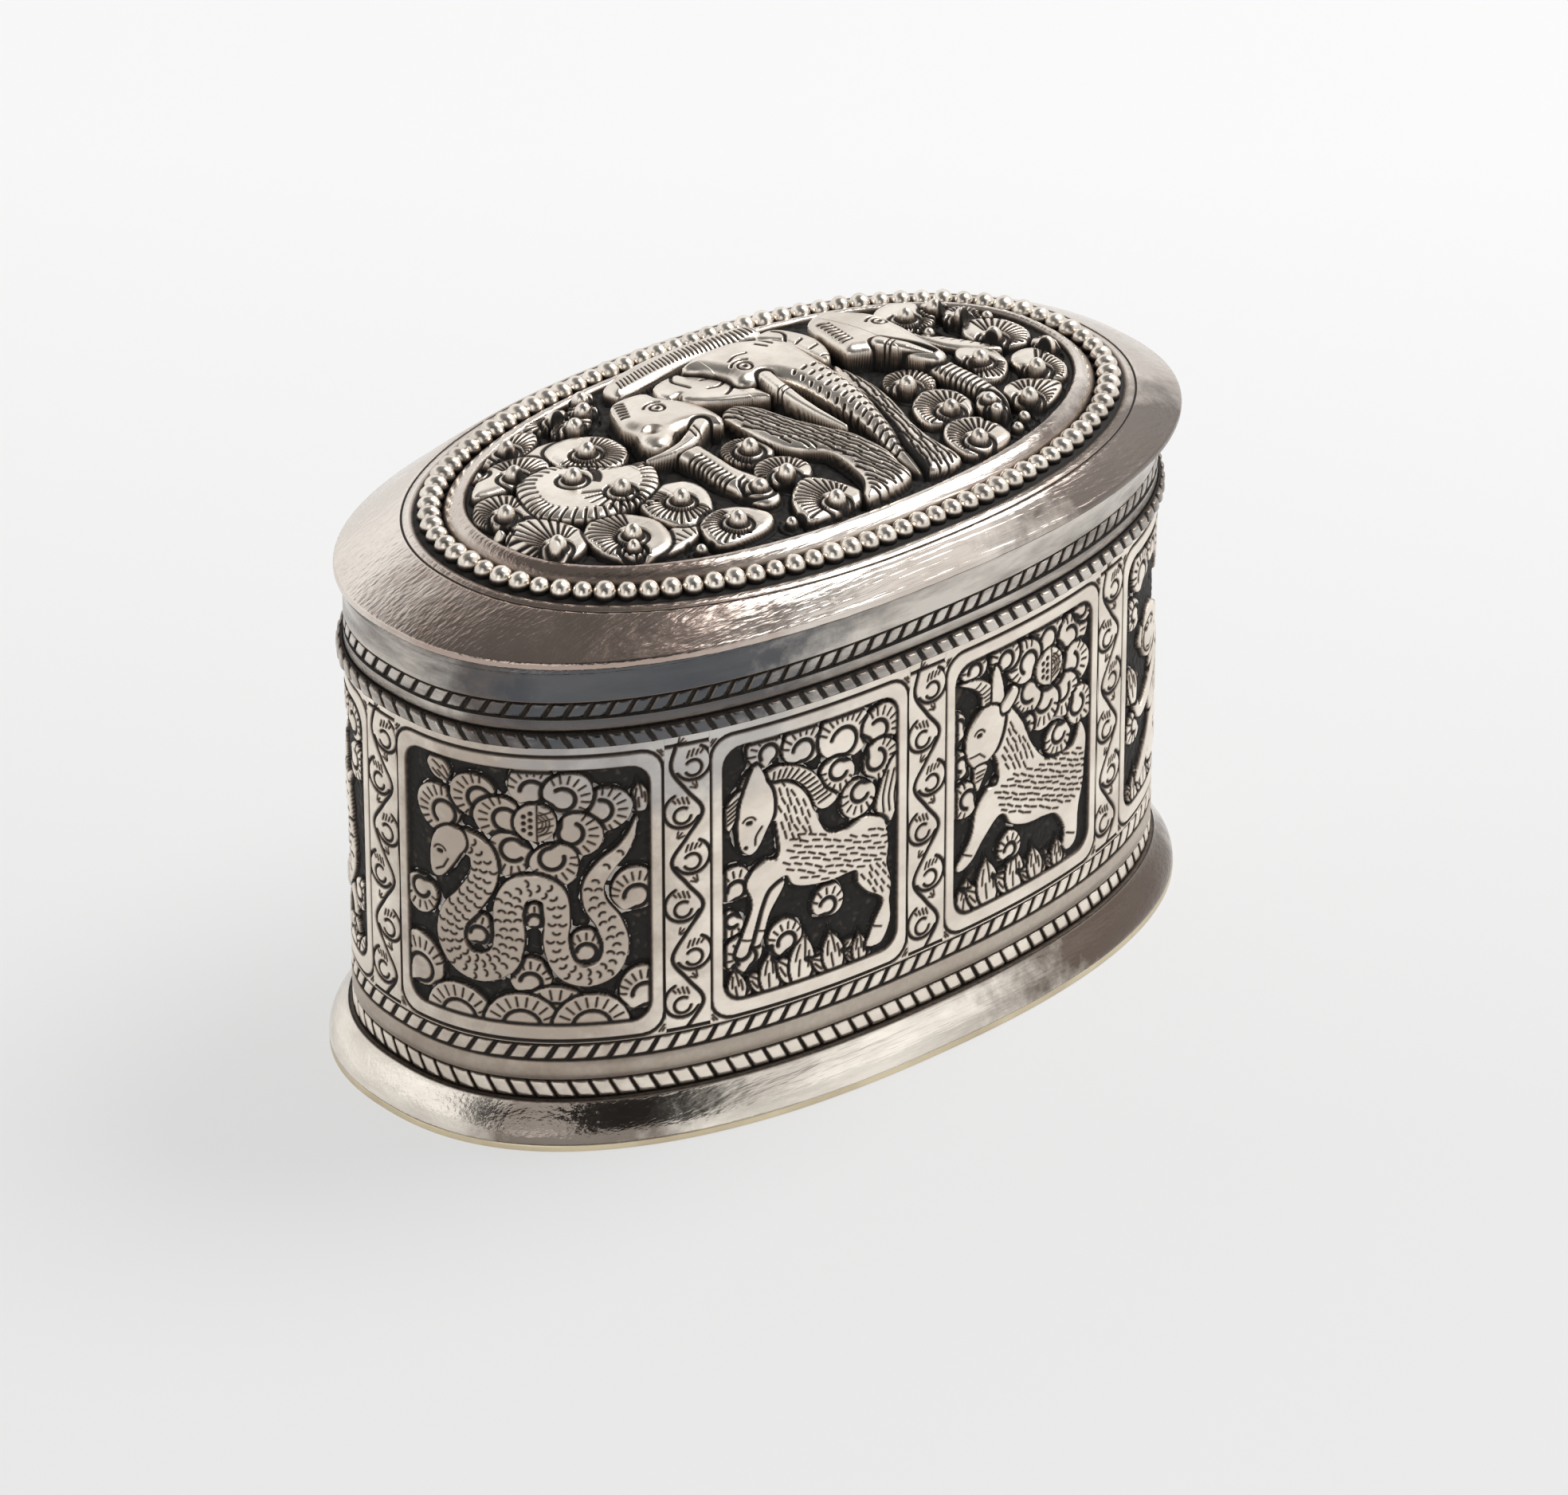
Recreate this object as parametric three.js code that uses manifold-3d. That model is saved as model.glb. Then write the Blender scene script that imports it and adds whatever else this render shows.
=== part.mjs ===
// An oval silver box with a lift-off lid, of the kind chased in mainland Southeast Asia.
// A flared foot carries an oval wall with eight sunk panels. The lid is a bevelled plate with a
// beaded border round a domed field, soldered on a plain band whose lower edge is a notched wire.
// Units are millimetres, +Z is up, +X runs along the oval, and the origin is the middle of the
// foot's underside. The front is -Y, and the left end is -X.
import * as THREE from "three";
import { mergeVertices } from "three/addons/utils/BufferGeometryUtils.js";
import Module from "manifold-3d";

const wasm = await Module();
wasm.setup();

// Plan of the wall's outer face, a superellipse, and the sheet that the box is made from
const HALF_LENGTH = 50;
const HALF_WIDTH = 27.9;
const OVAL_POWER = 2.34;
const SHEET = 0.9;
const WALL_SHEET = 1.1;
const SOLDER_GAP = 0.1;
const SEGMENTS = 52;

// Foot: a strip raised to a hollow curve on a flat rim wire
const FOOT_HEIGHT = 5;
const FOOT_SPREAD = 2.65;
const FOOT_NECK = 0.45;
const FOOT_RIM_HEIGHT = 0.9;
const FOOT_RIM_WIDTH = 1.8;

// Wall and its panels, which follow each other round from the left end along the front
const WALL_HEIGHT = 42.4;
const PANEL_COUNT = 8;
const FIRST_BORDER = -2.3;
const WIDE_PITCH = 35.8;
const FRONT_PITCH = 30.25;
const FRONT_PITCHES = 2;
const PANEL_MARGIN = 4.1;
const PANEL_HEIGHT = 30.6;
const PANEL_TOP_BORDER = 2.8;
const PANEL_CORNER = 2.4;
const PANEL_DEPTH = 0.5;

// What stands in each panel, from the left end along the front: outlines, bent bars and discs.
// Places are millimetres from the panel's middle and its lower edge, for a panel of this size.
const DRAWN_WIDTH = 27.6;
const DRAWN_HEIGHT = 30.6;
const FIGURES = [
  {
    // The snake
    outlines: [[[-13, 0.3], [-3, 0.3], [-8, 3]], [[3, 0.3], [13, 0.3], [8, 3]]],
    bars: [
      {
        path: [
          [-9.3, 18.3], [-7.1, 20.8], [-4.8, 20], [-4.6, 16.5], [-7.2, 12], [-8, 7.5], [-4.6, 4.8],
          [-0.8, 6],
          [0.1, 10], [-0.1, 14.5], [2.2, 17.2], [4.3, 14.5], [4.4, 8.8], [7, 5.9], [10, 8.5], [8.7, 14],
          [8.4, 18.8], [11.4, 23.5],
        ],
        widths: [3, 3.5, 3.3, 0.7],
      },
    ],
    discs: [[1.4, 25.2, 4.6], [8.8, 26, 2.2]],
  },
  {
    // The horse
    outlines: [
      [
        [-7.3, 27.3], [-9.7, 21.5], [-9.1, 17.5], [-7.1, 18], [-4.7, 20], [-4.6, 16], [-8.1, 14], [-8, 10],
        [-9.6, 5.4], [-8.2, 5.2], [-6.2, 11], [-3.6, 13.3], [-0.6, 11.3], [5.4, 11], [8.6, 6.5], [6.9, 1.3],
        [8.9, 1.1], [10.3, 6], [9.8, 14], [10.7, 20], [8.9, 17], [2.4, 16.3], [2.8, 21], [-2.3, 26.3],
        [-5.1, 27.4],
      ],
      [[-3.4, 0.6], [0.4, 0.6], [-1.4, 6.6]],
    ],
    bars: [],
    discs: [[3.9, 27.2, 2.6], [8.7, 24.2, 2.4]],
  },
  {
    // The goat
    outlines: [
      [
        [-5.6, 26.4], [-10.5, 28.3], [-7.7, 25.7], [-9.4, 22], [-8.9, 18], [-7.8, 14.6], [-4.9, 17],
        [-4.7, 14],
        [-7.9, 12], [-10.7, 6], [-8.4, 6.2], [-4.4, 10], [-1.9, 8], [5.1, 6.5], [6.4, 1.5], [8.7, 1.5],
        [10.1, 11], [9.6, 14.3], [4.1, 13], [-0.9, 17], [-3.9, 23], [-1.9, 24.5], [-4.3, 24],
      ],
      [[-7.6, 0.6], [-4.2, 0.6], [-6, 6.4]],
    ],
    bars: [],
    discs: [[3.4, 25.2, 4.6]],
  },
  {
    // The monkey
    outlines: [
      [
        [-3.5, 15.5], [-6.6, 16.8], [-7.6, 19.4], [-6.4, 21.6], [-4.2, 22.2], [-1.4, 21],
        [-0.8, 17.4], [2, 17],
        [6, 13.5], [8, 8], [7, 3], [2, 1.6], [-8, 1.8], [-5, 4.6], [-3.2, 6.5], [-3.6, 9.8], [-8.2, 9.6],
        [-10, 12.4], [-8.6, 13.4], [-7.6, 11.6], [-3.8, 13],
      ],
    ],
    bars: [],
    discs: [[3.4, 26.6, 2.8]],
  },
  {
    // The rooster
    outlines: [
      [
        [-10.4, 21.2], [-8.3, 22.8], [-8.8, 25], [-4.9, 25.2], [-3.6, 20], [-1, 15], [3, 13.2], [4.6, 20],
        [8.6, 24.6], [7.6, 18], [11.6, 20], [9.4, 14], [12, 13], [7.5, 10.5], [4, 7.5], [2.6, 1.4],
        [-3.8, 1],
        [-2.2, 4.4], [-5.4, 8], [-7.4, 12.5], [-7, 17], [-8.4, 20.4],
      ],
    ],
    bars: [],
    discs: [[0.4, 27, 2.4]],
  },
  {
    // The dog
    outlines: [
      [
        [-11, 19.4], [-10.4, 21.4], [-7.6, 23.4], [-4.6, 23.3], [-3, 25.6], [-1.8, 23.6], [-2.6, 17],
        [2, 14.6],
        [6.5, 15.4], [6.4, 19.4], [9, 19.6], [9.6, 15.5], [9.2, 8], [8.8, 1], [6.8, 1], [6.4, 6.4], [3, 9],
        [-1.6, 8.4], [-3.2, 6], [-3.6, 1], [-5.6, 1], [-7, 10], [-7.6, 16], [-9.6, 17.8],
      ],
    ],
    bars: [],
    discs: [[6, 26, 2.8]],
  },
  {
    // The pig
    outlines: [
      [
        [-11.4, 10.6], [-11, 13.4], [-8.6, 17], [-5, 19], [-3.6, 20.2], [0, 19.8], [5, 19], [8.8, 16],
        [10.6, 16.6],
        [9.8, 12], [9.4, 7], [9, 1.2], [6.8, 1.2], [6.6, 5], [3.6, 6], [-2, 5.4], [-4.2, 4.6], [-4.6, 1.2],
        [-6.8, 1.2], [-6.6, 6], [-8.6, 8.8],
      ],
    ],
    bars: [],
    discs: [[3, 26, 2.8]],
  },
  {
    // The dragon
    outlines: [[[-11.4, 19.8], [-10.4, 22.4], [-7.6, 24], [-2.4, 25], [-3, 20.6], [-5, 17.5], [-9.2, 17]]],
    bars: [
      {
        path: [
          [-5, 21.8], [0.4, 21.6], [2.4, 18.4], [0.6, 15], [-4, 13.6], [-7, 11], [-6.6, 7.4], [-3, 5.6],
          [1.4, 5.8], [5, 7.6], [7.6, 11], [7, 15], [6.4, 19], [8.4, 21.4],
        ],
        widths: [3.2, 3.8, 3.4, 0.7],
      },
    ],
    discs: [[8, 27, 2.4]],
  },
];
const DISC_SIDES = 5;
const FIGURE_REACH = 4;

// Collar that stands up inside the lid
const COLLAR_SHEET = 0.8;
const COLLAR_SEAT = 9;
const COLLAR_RISE = 5.6;
const COLLAR_CHAMFER = 0.35;
const LID_CLEARANCE = 0.25;

// Lid band with its flared top, and the half-round wire on its lower edge
const BAND_HEIGHT = 9.6;
const BAND_FLARE = 1.5;
const FLARE_HEIGHT = 1.6;
const MOULDING_HEIGHT = 2;
const MOULDING_BULGE = 0.9;
const MOULDING_LIP = 0.25;

// Lid plate, which was soldered on a little to the right
const PLATE_SPREAD = 1.65;
const PLATE_SHIFT = 1;
const PLATE_EDGE = 0.9;
const PLATE_ROUND = 0.18;
const BEVEL_RISE = 2.5;
const SHOULDER_RISE = 0.6;

// Beaded border and the field inside it: another superellipse, a little further to the right
const BEAD_HALF_LENGTH = 41.7;
const BEAD_HALF_WIDTH = 24;
const BEAD_OVAL_POWER = 2.23;
const FIELD_SHIFT = 2.3;
const BEAD_COUNT = 93;
const BEAD_RADIUS = 1.05;
const BEAD_RISE = 1.15;
const SHOULDER_WIDTH = 3.25;
const BORDER_WIDTH = 3.4;
const BORDER_RISE = 1.5;
const FIELD_SINK = 0.6;
const DOME_RISE = 1.2;

// Three elephants stand side by side in the field. Places are shares of the field's half length
// and half width from its middle, and sizes are real.
const ELEPHANTS = [
  {
    head: [-0.276, 0.34],
    headSize: [5, 5.2, 2.8],
    ears: [],
    trunk: [[-0.31, 0.2], [-0.33, 0], [-0.325, -0.18], [-0.326, -0.36], [-0.31, -0.54]],
    trunkRadii: [2.1, 1.7],
    tusk: [[-0.218, 0.11], [-0.297, 0.02], [-0.366, 0], [-0.451, 0.02]],
    legs: [],
  },
  {
    head: [0.12, 0.47],
    headSize: [6.2, 4.8, 3.5],
    ears: [[-0.077, 0.395, 4, 4.8], [0.321, 0.495, 2.3, 4.6]],
    trunk: [[0.19, 0.42], [0.215, 0.2], [0.21, -0.175], [0.18, -0.44], [0.138, -0.735], [0.13, -0.89]],
    trunkRadii: [2.7, 0.7],
    tusk: [[0.11, 0.32], [0.08, 0.1], [0.08, -0.12], [0.1, -0.36]],
    legs: [
      { path: [[-0.05, 0.12], [-0.04, -0.13], [0.02, -0.33], [0.05, -0.57], [0, -0.9]], radii: [2.4, 2.5] },
      { path: [[0.334, 0.235], [0.326, -0.02], [0.29, -0.28], [0.24, -0.6],
      [0.215, -0.9]], radii: [1, 2.3] },
    ],
  },
  {
    head: [0.506, 0.42],
    headSize: [4.2, 5.2, 3],
    ears: [],
    trunk: [[0.56, 0.3], [0.578, 0.02], [0.573, -0.16], [0.584, -0.36], [0.57, -0.6]],
    trunkRadii: [2, 1.1],
    tusk: [[0.49, 0.195], [0.533, 0.065], [0.57, -0.055]],
    legs: [],
  },
];
const EAR_RISE = 2.2;
const LEG_SINK = 0.5;
const TUSK_RADII = [0.9, 0.45];
const BACK = { path: [[-0.23, 0.82], [-0.1, 0.88], [0.34, 0.88]], radii: [1.6, 1.6] };

// Leaves round the elephants: two shares of the field and two half sizes
const LEAVES = [
  [-0.89, 0.19, 3.2, 3.2], [-0.74, 0.485, 4, 2.4], [-0.512, 0.375, 3.6, 3.6], [-0.634, 0.055, 7.6, 5.4],
  [-0.905, -0.2, 3.2, 3.9], [-0.73, -0.435, 4, 4.4], [-0.512, -0.375, 3.5, 3.9], [-0.456, -0.705, 3.7, 2.9],
  [-0.18, -0.18, 2.6, 2.6], [-0.178, -0.465, 2.8, 2.8], [-0.178, -0.76, 3.2, 3.3],
  [0.448, -0.13, 2.6, 2.6], [0.416, -0.445, 3.3, 3.4], [0.385, -0.76, 3.1, 3.3], [0.732, 0.51, 3.1, 3.1],
  [0.86, 0.05, 2.5, 3.5], [0.708, -0.17, 2.3, 3.7], [0.82, -0.38, 2, 3.3], [0.7, -0.59, 2.9, 2.5],
];
const LEAF_RISE = 1.4;
const FIGURE_ROOM = 12;
const DOME_RINGS = [0.8, 0.45];

// Heights that follow
const WALL_TOP = FOOT_HEIGHT + WALL_HEIGHT;
const BAND_TOP = WALL_TOP + BAND_HEIGHT;
const PLATE_TOP = BAND_TOP + PLATE_EDGE;
const BEVEL_TOP = PLATE_TOP + BEVEL_RISE;
const BEAD_BED = BEVEL_TOP + SHOULDER_RISE;
const BORDER_TOP = BEAD_BED + BORDER_RISE;
const FIELD_EDGE = BORDER_TOP - FIELD_SINK;

// Outsets that follow, all square to the wall's outer face
const COLLAR_OUTER = -WALL_SHEET - SOLDER_GAP;
const COLLAR_INNER = COLLAR_OUTER - COLLAR_SHEET;
const BAND_INNER = COLLAR_OUTER + LID_CLEARANCE;
const BAND_OUTER = BAND_INNER + SHEET;
const FIELD_INSET = BORDER_WIDTH + FIELD_SINK;

// A superellipse walked by its own length, so that u from 0 to 1 goes once round at an even
// pace from the left end along the front. It gives the point and the outward normal at u.
function oval(halfLength, halfWidth, power, shift = 0) {
  const steps = 5760;
  const points = [];
  for (let i = 0, length = 0; i <= steps; i++) {
    const angle = Math.PI + (2 * Math.PI * i) / steps;
    const c = Math.cos(angle);
    const s = Math.sin(angle);
    const x = halfLength * Math.sign(c) * Math.abs(c) ** (2 / power);
    const y = halfWidth * Math.sign(s) * Math.abs(s) ** (2 / power);
    if (i) length += Math.hypot(x - points[i - 1].x, y - points[i - 1].y);
    points.push({ x, y, length });
  }
  const perimeter = points[steps].length;
  const at = (u) => {
    const wanted = (((u % 1) + 1) % 1) * perimeter;
    let low = 0;
    let high = steps;
    while (high - low > 1) {
      const middle = (low + high) >> 1;
      if (points[middle].length <= wanted) low = middle;
      else high = middle;
    }
    const share = (wanted - points[low].length) / (points[high].length - points[low].length);
    const x = points[low].x + share * (points[high].x - points[low].x);
    const y = points[low].y + share * (points[high].y - points[low].y);
    const nx = (Math.sign(x) * (Math.abs(x) / halfLength) ** (power - 1)) / halfLength;
    const ny = (Math.sign(y) * (Math.abs(y) / halfWidth) ** (power - 1)) / halfWidth;
    const size = Math.hypot(nx, ny);
    return { x: x + shift, y, nx: nx / size, ny: ny / size };
  };
  return { perimeter, shift, at };
}

const wallOval = oval(HALF_LENGTH, HALF_WIDTH, OVAL_POWER);
const plateOval = oval(HALF_LENGTH, HALF_WIDTH, OVAL_POWER, PLATE_SHIFT);
const beadOval = oval(BEAD_HALF_LENGTH, BEAD_HALF_WIDTH, BEAD_OVAL_POWER, FIELD_SHIFT);

// A point outset millimetres outside an oval, drawn in towards its middle by the factor shrink.
function ovalPoint(plan, u, outset, z, shrink = 1) {
  const p = plan.at(u);
  return [plan.shift + shrink * (p.x - plan.shift + outset * p.nx), shrink * (p.y + outset * p.ny), z];
}

// A closed solid from vertices and triangles, turned to face outwards.
function solid(vertices, triangles) {
  const geometry = new THREE.BufferGeometry()
    .setAttribute("position", new THREE.Float32BufferAttribute(vertices.flat(), 3))
    .setIndex(triangles.flat());
  return toManifold(geometry);
}

function toManifold(geometry) {
  const bare = geometry.clone();
  bare.deleteAttribute("normal");
  bare.deleteAttribute("uv");
  const merged = mergeVertices(bare, 1e-4);
  const triVerts = new Uint32Array(merged.index.array);
  const vertProperties = merged.attributes.position.array;
  const made = new wasm.Manifold(new wasm.Mesh({ numProp: 3, vertProperties, triVerts }));
  if (made.volume() > 0) return made;
  for (let i = 0; i < triVerts.length; i += 3) {
    const second = triVerts[i + 1];
    triVerts[i + 1] = triVerts[i + 2];
    triVerts[i + 2] = second;
  }
  return new wasm.Manifold(new wasm.Mesh({ numProp: 3, vertProperties, triVerts }));
}

// A rounded lump, half sunk in what it stands on.
function lump(x, y, z, halfX, halfY, rise, across = 10) {
  const ball = new THREE.SphereGeometry(1, across, Math.round(across / 3) * 2);
  ball.rotateX(Math.PI / 2).scale(halfX, halfY, rise).translate(x, y, z);
  return toManifold(ball);
}

// A round bar along a smooth path, tapering from the first radius to the second.
function taper(points, [first, last], steps = 6, sides = 7) {
  const path = new THREE.CatmullRomCurve3(points.map((p) => new THREE.Vector3(...p)));
  const frames = path.computeFrenetFrames(steps, false);
  const vertices = [path.getPointAt(0).toArray(), path.getPointAt(1).toArray()];
  const triangles = [];
  for (let i = 0; i <= steps; i++) {
    const centre = path.getPointAt(i / steps);
    const radius = first + ((last - first) * i) / steps;
    for (let k = 0; k < sides; k++) {
      const angle = (2 * Math.PI * k) / sides;
      const corner = centre
        .clone()
        .addScaledVector(frames.normals[i], radius * Math.cos(angle))
        .addScaledVector(frames.binormals[i], radius * Math.sin(angle));
      vertices.push(corner.toArray());
    }
  }
  for (let k = 0; k < sides; k++) {
    const up = (k + 1) % sides;
    const end = 2 + steps * sides;
    triangles.push([0, 2 + up, 2 + k], [1, end + k, end + up]);
    for (let i = 0; i < steps; i++) {
      const here = 2 + i * sides;
      const next = here + sides;
      triangles.push([here + k, here + up, next + up], [here + k, next + up, next + k]);
    }
  }
  return solid(vertices, triangles);
}

// Stations are [oval, outset, z, shrink]: the corners of a profile, each on its own oval.
function stationVertices(stations) {
  const vertices = [];
  for (let i = 0; i < SEGMENTS; i++)
    for (const [plan, outset, z, shrink] of stations)
      vertices.push(ovalPoint(plan, i / SEGMENTS, outset, z, shrink));
  return vertices;
}

// A ring: a profile that closes on itself, swept once round.
function ring(stations) {
  const triangles = [];
  const size = stations.length;
  for (let i = 0; i < SEGMENTS; i++)
    for (let k = 0; k < size; k++) {
      const here = i * size;
      const next = ((i + 1) % SEGMENTS) * size;
      const up = (k + 1) % size;
      triangles.push([here + k, next + k, next + up], [here + k, next + up, here + up]);
    }
  return solid(stationVertices(stations), triangles);
}

// A disc: a profile that starts under its middle at bottom and ends over it at top.
function disc(plan, bottom, stations, top) {
  const vertices = [[plan.shift, 0, bottom], [plan.shift, 0, top], ...stationVertices(stations)];
  const triangles = [];
  const size = stations.length;
  for (let i = 0; i < SEGMENTS; i++) {
    const here = 2 + i * size;
    const next = 2 + ((i + 1) % SEGMENTS) * size;
    triangles.push([0, next, here], [1, here + size - 1, next + size - 1]);
    for (let k = 0; k + 1 < size; k++)
      triangles.push([here + k, next + k, next + k + 1], [here + k, next + k + 1, here + k + 1]);
  }
  return solid(vertices, triangles);
}

// Where each panel lies on the wall: its middle and its width, in millimetres round the wall.
function panelPlaces() {
  const others = PANEL_COUNT - 1 - FRONT_PITCHES;
  const rest = (wallOval.perimeter - WIDE_PITCH - FRONT_PITCHES * FRONT_PITCH) / others;
  const places = [];
  for (let i = 0, start = FIRST_BORDER; i < PANEL_COUNT; i++) {
    const pitch = i === 0 ? WIDE_PITCH : i <= FRONT_PITCHES ? FRONT_PITCH : rest;
    places.push({ middle: start + pitch / 2, width: pitch - 2 * PANEL_MARGIN });
    start += pitch;
  }
  return places;
}

// A rounded patch of shell that cuts one panel's ground into the wall.
function panelCut({ middle, width }) {
  const columns = [];
  const flat = width / 2 - PANEL_CORNER;
  const steps = Math.ceil((2 * flat) / (wallOval.perimeter / SEGMENTS));
  for (const turn of [0, 30, 60]) {
    const angle = THREE.MathUtils.degToRad(turn);
    columns.push([-flat - PANEL_CORNER * Math.cos(angle), PANEL_CORNER * (1 - Math.sin(angle))]);
  }
  for (let i = 0; i <= steps; i++) columns.push([-flat + (2 * flat * i) / steps, 0]);
  for (const turn of [60, 30, 0]) {
    const angle = THREE.MathUtils.degToRad(turn);
    columns.push([flat + PANEL_CORNER * Math.cos(angle), PANEL_CORNER * (1 - Math.sin(angle))]);
  }
  const top = WALL_TOP - PANEL_TOP_BORDER;
  const vertices = [];
  const triangles = [];
  for (const [along, drop] of columns) {
    const u = (middle + along) / wallOval.perimeter;
    const low = top - PANEL_HEIGHT + drop;
    const high = top - drop;
    for (const [outset, z] of [[-PANEL_DEPTH, low], [-PANEL_DEPTH, high], [SHEET, high], [SHEET, low]])
      vertices.push(ovalPoint(wallOval, u, outset, z));
  }
  for (let i = 0; i + 1 < columns.length; i++)
    for (let k = 0; k < 4; k++) {
      const here = 4 * i;
      const next = here + 4;
      const up = (k + 1) % 4;
      triangles.push([here + k, next + k, next + up], [here + k, next + up, here + up]);
    }
  const last = 4 * (columns.length - 1);
  triangles.push([0, 1, 2], [0, 2, 3], [last, last + 2, last + 1], [last, last + 3, last + 2]);
  return solid(vertices, triangles);
}

// An outline round a bent bar, whose width changes evenly along it.
function barOutline({ path, widths }) {
  const left = [];
  const right = [];
  path.forEach(([x, y], i) => {
    const [beforeX, beforeY] = path[Math.max(i - 1, 0)];
    const [afterX, afterY] = path[Math.min(i + 1, path.length - 1)];
    const size = Math.hypot(afterX - beforeX, afterY - beforeY);
    const at = (i / (path.length - 1)) * (widths.length - 1);
    const low = Math.min(Math.floor(at), widths.length - 2);
    const half = (widths[low] + (widths[low + 1] - widths[low]) * (at - low)) / 2;
    const stepX = (-half * (afterY - beforeY)) / size;
    const stepY = (half * (afterX - beforeX)) / size;
    left.push([x + stepX, y + stepY]);
    right.unshift([x - stepX, y - stepY]);
  });
  return [...left, ...right];
}

function discOutline([x, y, radius]) {
  return Array.from({ length: DISC_SIDES }, (_, i) => {
    const angle = (2 * Math.PI * i) / DISC_SIDES;
    return [x + radius * Math.cos(angle), y + radius * Math.sin(angle)];
  });
}

// A block through the wall under an outline, which keeps a panel's ground from being cut there.
function standing(outline, { middle, width }) {
  const flat = outline.map(
    ([x, y]) => new THREE.Vector2((x * width) / DRAWN_WIDTH, (y * PANEL_HEIGHT) / DRAWN_HEIGHT),
  );
  if (THREE.ShapeUtils.isClockWise(flat)) flat.reverse();
  const low = WALL_TOP - PANEL_TOP_BORDER - PANEL_HEIGHT;
  const layer = (outset) =>
    flat.map(({ x, y }) => ovalPoint(wallOval, (middle + x) / wallOval.perimeter, outset, low + y));
  const size = flat.length;
  const triangles = [];
  for (const [a, b, c] of THREE.ShapeUtils.triangulateShape(flat, []))
    triangles.push([c, b, a], [size + a, size + b, size + c]);
  for (let i = 0; i < size; i++) {
    const next = (i + 1) % size;
    triangles.push([i, next, size + next], [i, size + next, size + i]);
  }
  return solid([...layer(-FIGURE_REACH), ...layer(FIGURE_REACH)], triangles);
}

function panelFigures(place, { outlines, bars, discs }) {
  const all = [...outlines, ...bars.map(barOutline), ...discs.map(discOutline)];
  return wasm.Manifold.union(all.map((outline) => standing(outline, place)));
}

function footRimWire() {
  return ring([
    [wallOval, FOOT_SPREAD - FOOT_RIM_WIDTH, 0],
    [wallOval, FOOT_SPREAD, 0],
    [wallOval, FOOT_SPREAD, FOOT_RIM_HEIGHT],
    [wallOval, FOOT_SPREAD - FOOT_RIM_WIDTH, FOOT_RIM_HEIGHT],
  ]);
}

function footRing() {
  const outside = [];
  const inside = [];
  for (const turn of [0, 30, 60, 90]) {
    const angle = THREE.MathUtils.degToRad(turn);
    const z = FOOT_HEIGHT - (FOOT_HEIGHT - FOOT_RIM_HEIGHT) * Math.sin(angle);
    const outset = FOOT_SPREAD - (FOOT_SPREAD - FOOT_NECK) * Math.cos(angle);
    outside.push([wallOval, outset, z]);
    inside.unshift([wallOval, outset - SHEET, z]);
  }
  return ring([...outside, ...inside]);
}

function floorPlate() {
  const edge = FOOT_NECK - SHEET - SOLDER_GAP;
  const bottom = FOOT_HEIGHT - SHEET;
  return disc(wallOval, bottom, [[wallOval, edge, bottom], [wallOval, edge, FOOT_HEIGHT]], FOOT_HEIGHT);
}

function bodyWall() {
  const tube = ring([
    [wallOval, -WALL_SHEET, FOOT_HEIGHT],
    [wallOval, 0, FOOT_HEIGHT],
    [wallOval, 0, WALL_TOP],
    [wallOval, -WALL_SHEET, WALL_TOP],
  ]);
  return panelPlaces().reduce(
    (wall, place, i) => wall.subtract(panelCut(place).subtract(panelFigures(place, FIGURES[i]))),
    tube,
  );
}

function innerCollar() {
  const bottom = WALL_TOP - COLLAR_SEAT;
  const top = WALL_TOP + COLLAR_RISE;
  return ring([
    [wallOval, COLLAR_INNER, bottom],
    [wallOval, COLLAR_OUTER, bottom],
    [wallOval, COLLAR_OUTER, top - COLLAR_CHAMFER],
    [wallOval, COLLAR_OUTER - COLLAR_CHAMFER, top],
    [wallOval, COLLAR_INNER, top],
  ]);
}

// The band goes straight up and then flares under the plate, leaning with it to the right.
function lidBand() {
  const outside = [];
  const inside = [];
  for (const turn of [0, 30, 60, 90]) {
    const angle = THREE.MathUtils.degToRad(turn);
    const share = 1 - Math.cos(angle);
    const plan = turn < 45 ? wallOval : plateOval;
    outside.push([plan, BAND_OUTER + BAND_FLARE * share, BAND_TOP - FLARE_HEIGHT * (1 - Math.sin(angle))]);
  }
  inside.push([wallOval, BAND_INNER, BAND_TOP]);
  inside.push([wallOval, BAND_INNER, WALL_TOP]);
  return ring([[wallOval, BAND_OUTER, WALL_TOP], ...outside, ...inside]);
}

function lidMoulding() {
  const inner = BAND_OUTER + SOLDER_GAP;
  const lip = MOULDING_BULGE * MOULDING_LIP;
  const stations = [[wallOval, inner, WALL_TOP]];
  for (const turn of [-90, -45, 0, 45, 90]) {
    const angle = THREE.MathUtils.degToRad(turn);
    const z = WALL_TOP + (MOULDING_HEIGHT / 2) * (1 + Math.sin(angle));
    stations.push([wallOval, inner + lip + (MOULDING_BULGE - lip) * Math.cos(angle), z]);
  }
  stations.push([wallOval, inner, WALL_TOP + MOULDING_HEIGHT]);
  return ring(stations);
}

// A place in the field, given in shares of its half length and half width, at a height over its ground.
function fieldPlace([along, across], rise = 0) {
  const sum = Math.abs(along) ** BEAD_OVAL_POWER + Math.abs(across) ** BEAD_OVAL_POWER;
  const x = FIELD_SHIFT + along * (BEAD_HALF_LENGTH - FIELD_INSET);
  const y = across * (BEAD_HALF_WIDTH - FIELD_INSET);
  return [x, y, FIELD_EDGE + DOME_RISE * (1 - sum ** (2 / BEAD_OVAL_POWER)) + rise];
}

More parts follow.
